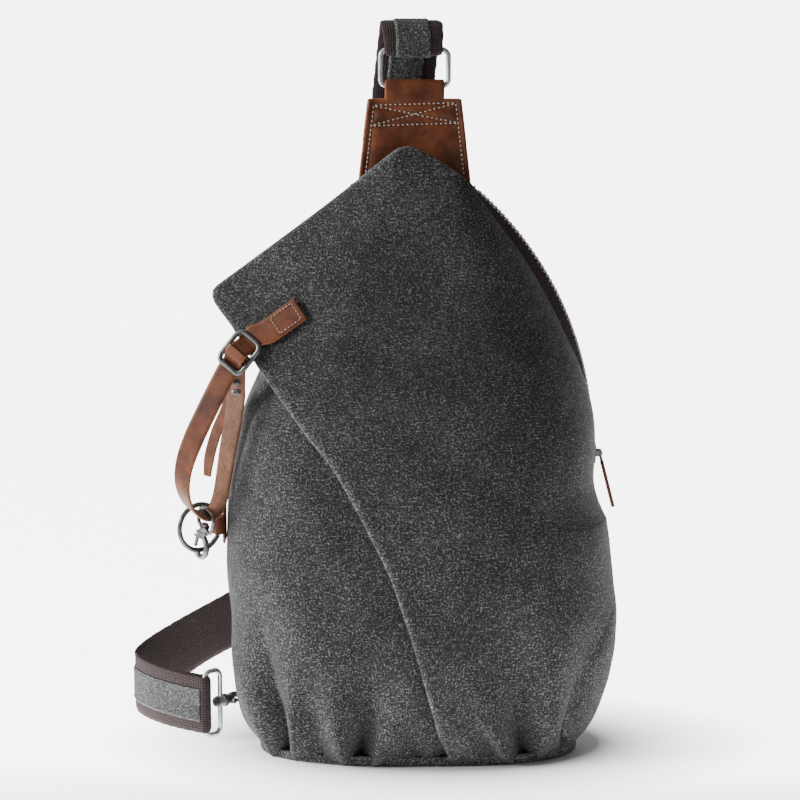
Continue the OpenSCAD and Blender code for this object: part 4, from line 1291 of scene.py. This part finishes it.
for node in ("top_ring", "strap_loop"):
    dress(node, NICKEL)
for node in ("flap_buckle", "small_loop", "small_hook", "small_gate", "o_ring", "strap_hook", "strap_gate", "d_ring",
             "adjuster", "zip_slider", "zip_stops"):
    dress(node, GUNMETAL)
for node in ("d_ring_tab", "o_ring_tab"):
    dress(node, LEATHER)
dress("inner_pocket", LINING)
dress("base_panel", CANVAS_DARK)
dress("base_board", BOARD)
dress("zip_pull", LEATHER)

# ---------------------------------------------------------------- stage and light

FLOOR_GLOW = 5.5
floor_mat = Nodes("floor")
place = floor_mat.add("ShaderNodeSeparateXYZ", Vector=floor_mat.obj())
side_x, side_y, up_z = place.outputs
# The floor glows behind the bag as painted light; the glow is cut out round the bag's base as a painted soft shadow,
# and fades to plain white cloth to the front and far to the sides
# Painted shadow: no glow inside an ellipse round the base, set off to the right and front, rising to full glow beyond
# it
SHADOW_CENTRE_X, SHADOW_CENTRE_Y, SHADOW_HALF_W, SHADOW_HALF_D = 14, -4, 100, 62
shadow_dx = floor_mat.math("DIVIDE", floor_mat.math("SUBTRACT", side_x, SHADOW_CENTRE_X), SHADOW_HALF_W)
shadow_dy = floor_mat.math("DIVIDE", floor_mat.math("SUBTRACT", side_y, SHADOW_CENTRE_Y), SHADOW_HALF_D)
shadow_reach = floor_mat.math("SQRT", floor_mat.math("ADD", floor_mat.math("MULTIPLY", shadow_dx, shadow_dx),
                                              floor_mat.math("MULTIPLY", shadow_dy, shadow_dy)))
glow = floor_mat.math("MULTIPLY", floor_mat.ramp(shadow_reach, 0.9, 1.9),
                      floor_mat.math("MULTIPLY", floor_mat.ramp(side_y, -210, -50), floor_mat.ramp(up_z, 1000, 500)))
# Half as wide again as the picture is at each depth, then it fades
HALF_VIEW = 0.138
away = floor_mat.math("SUBTRACT", side_y, CAM_AT[1])
wide_at = floor_mat.math("MAXIMUM", floor_mat.math("MULTIPLY", away, HALF_VIEW), 1)
aside = floor_mat.math("DIVIDE", floor_mat.math("ABSOLUTE", floor_mat.math("SUBTRACT", side_x, CAM_AT[0])), wide_at)
glow = floor_mat.math("MULTIPLY", glow, floor_mat.ramp(aside, 2.1, 1.3))
floor_mat.put(floor_mat.bsdf, "Emission_Color", (1, 1, 1, 1))
floor_mat.put(floor_mat.bsdf, "Emission_Strength", floor_mat.math("MULTIPLY", glow, FLOOR_GLOW))
FLOOR = floor_mat.surface((0.86, 0.86, 0.86, 1), 0.9)
back_y, radius, wide, high = 3000, 1300, 5000, 3200
profile = [(-4000, 0), (back_y - radius, 0)]
profile += [(back_y - radius + radius * math.sin(math.radians(a)), radius - radius * math.cos(math.radians(a)))
            for a in range(6, 91, 6)]
profile += [(back_y, high)]
verts = [(x, y, z) for (y, z) in profile for x in (-wide, wide)]
faces = [(2 * i, 2 * i + 1, 2 * i + 3, 2 * i + 2) for i in range(len(profile) - 1)]
cyc = as_object("backdrop", verts, faces, [FLOOR])

world = bpy.data.worlds.new("world")
bpy.context.scene.world = world
world.use_nodes = True
world.node_tree.nodes["Background"].inputs[0].default_value = (1, 1, 1, 1)
world.node_tree.nodes["Background"].inputs[1].default_value = 0.16


def area(name, at, aim, size, power):
    data = bpy.data.lights.new(name, "AREA")
    data.shape = "RECTANGLE"
    data.size, data.size_y = size
    data.energy = power
    obj = bpy.data.objects.new(name, data)
    bpy.context.scene.collection.objects.link(obj)
    obj.location = at
    obj.rotation_euler = (Vector(aim) - Vector(at)).to_track_quat("-Z", "Y").to_euler()


area("key", (-1.85, -0.5, 0.9), (0, 0, 0.18), (0.7, 0.7), 58)
area("fill", (1.3, -1.7, 0.6), (0, 0, 0.2), (1.4, 1.4), 2)
area("top", (-0.4, 0.2, 1.7), (0, 0, 0.2), (1.0, 1.0), 7)
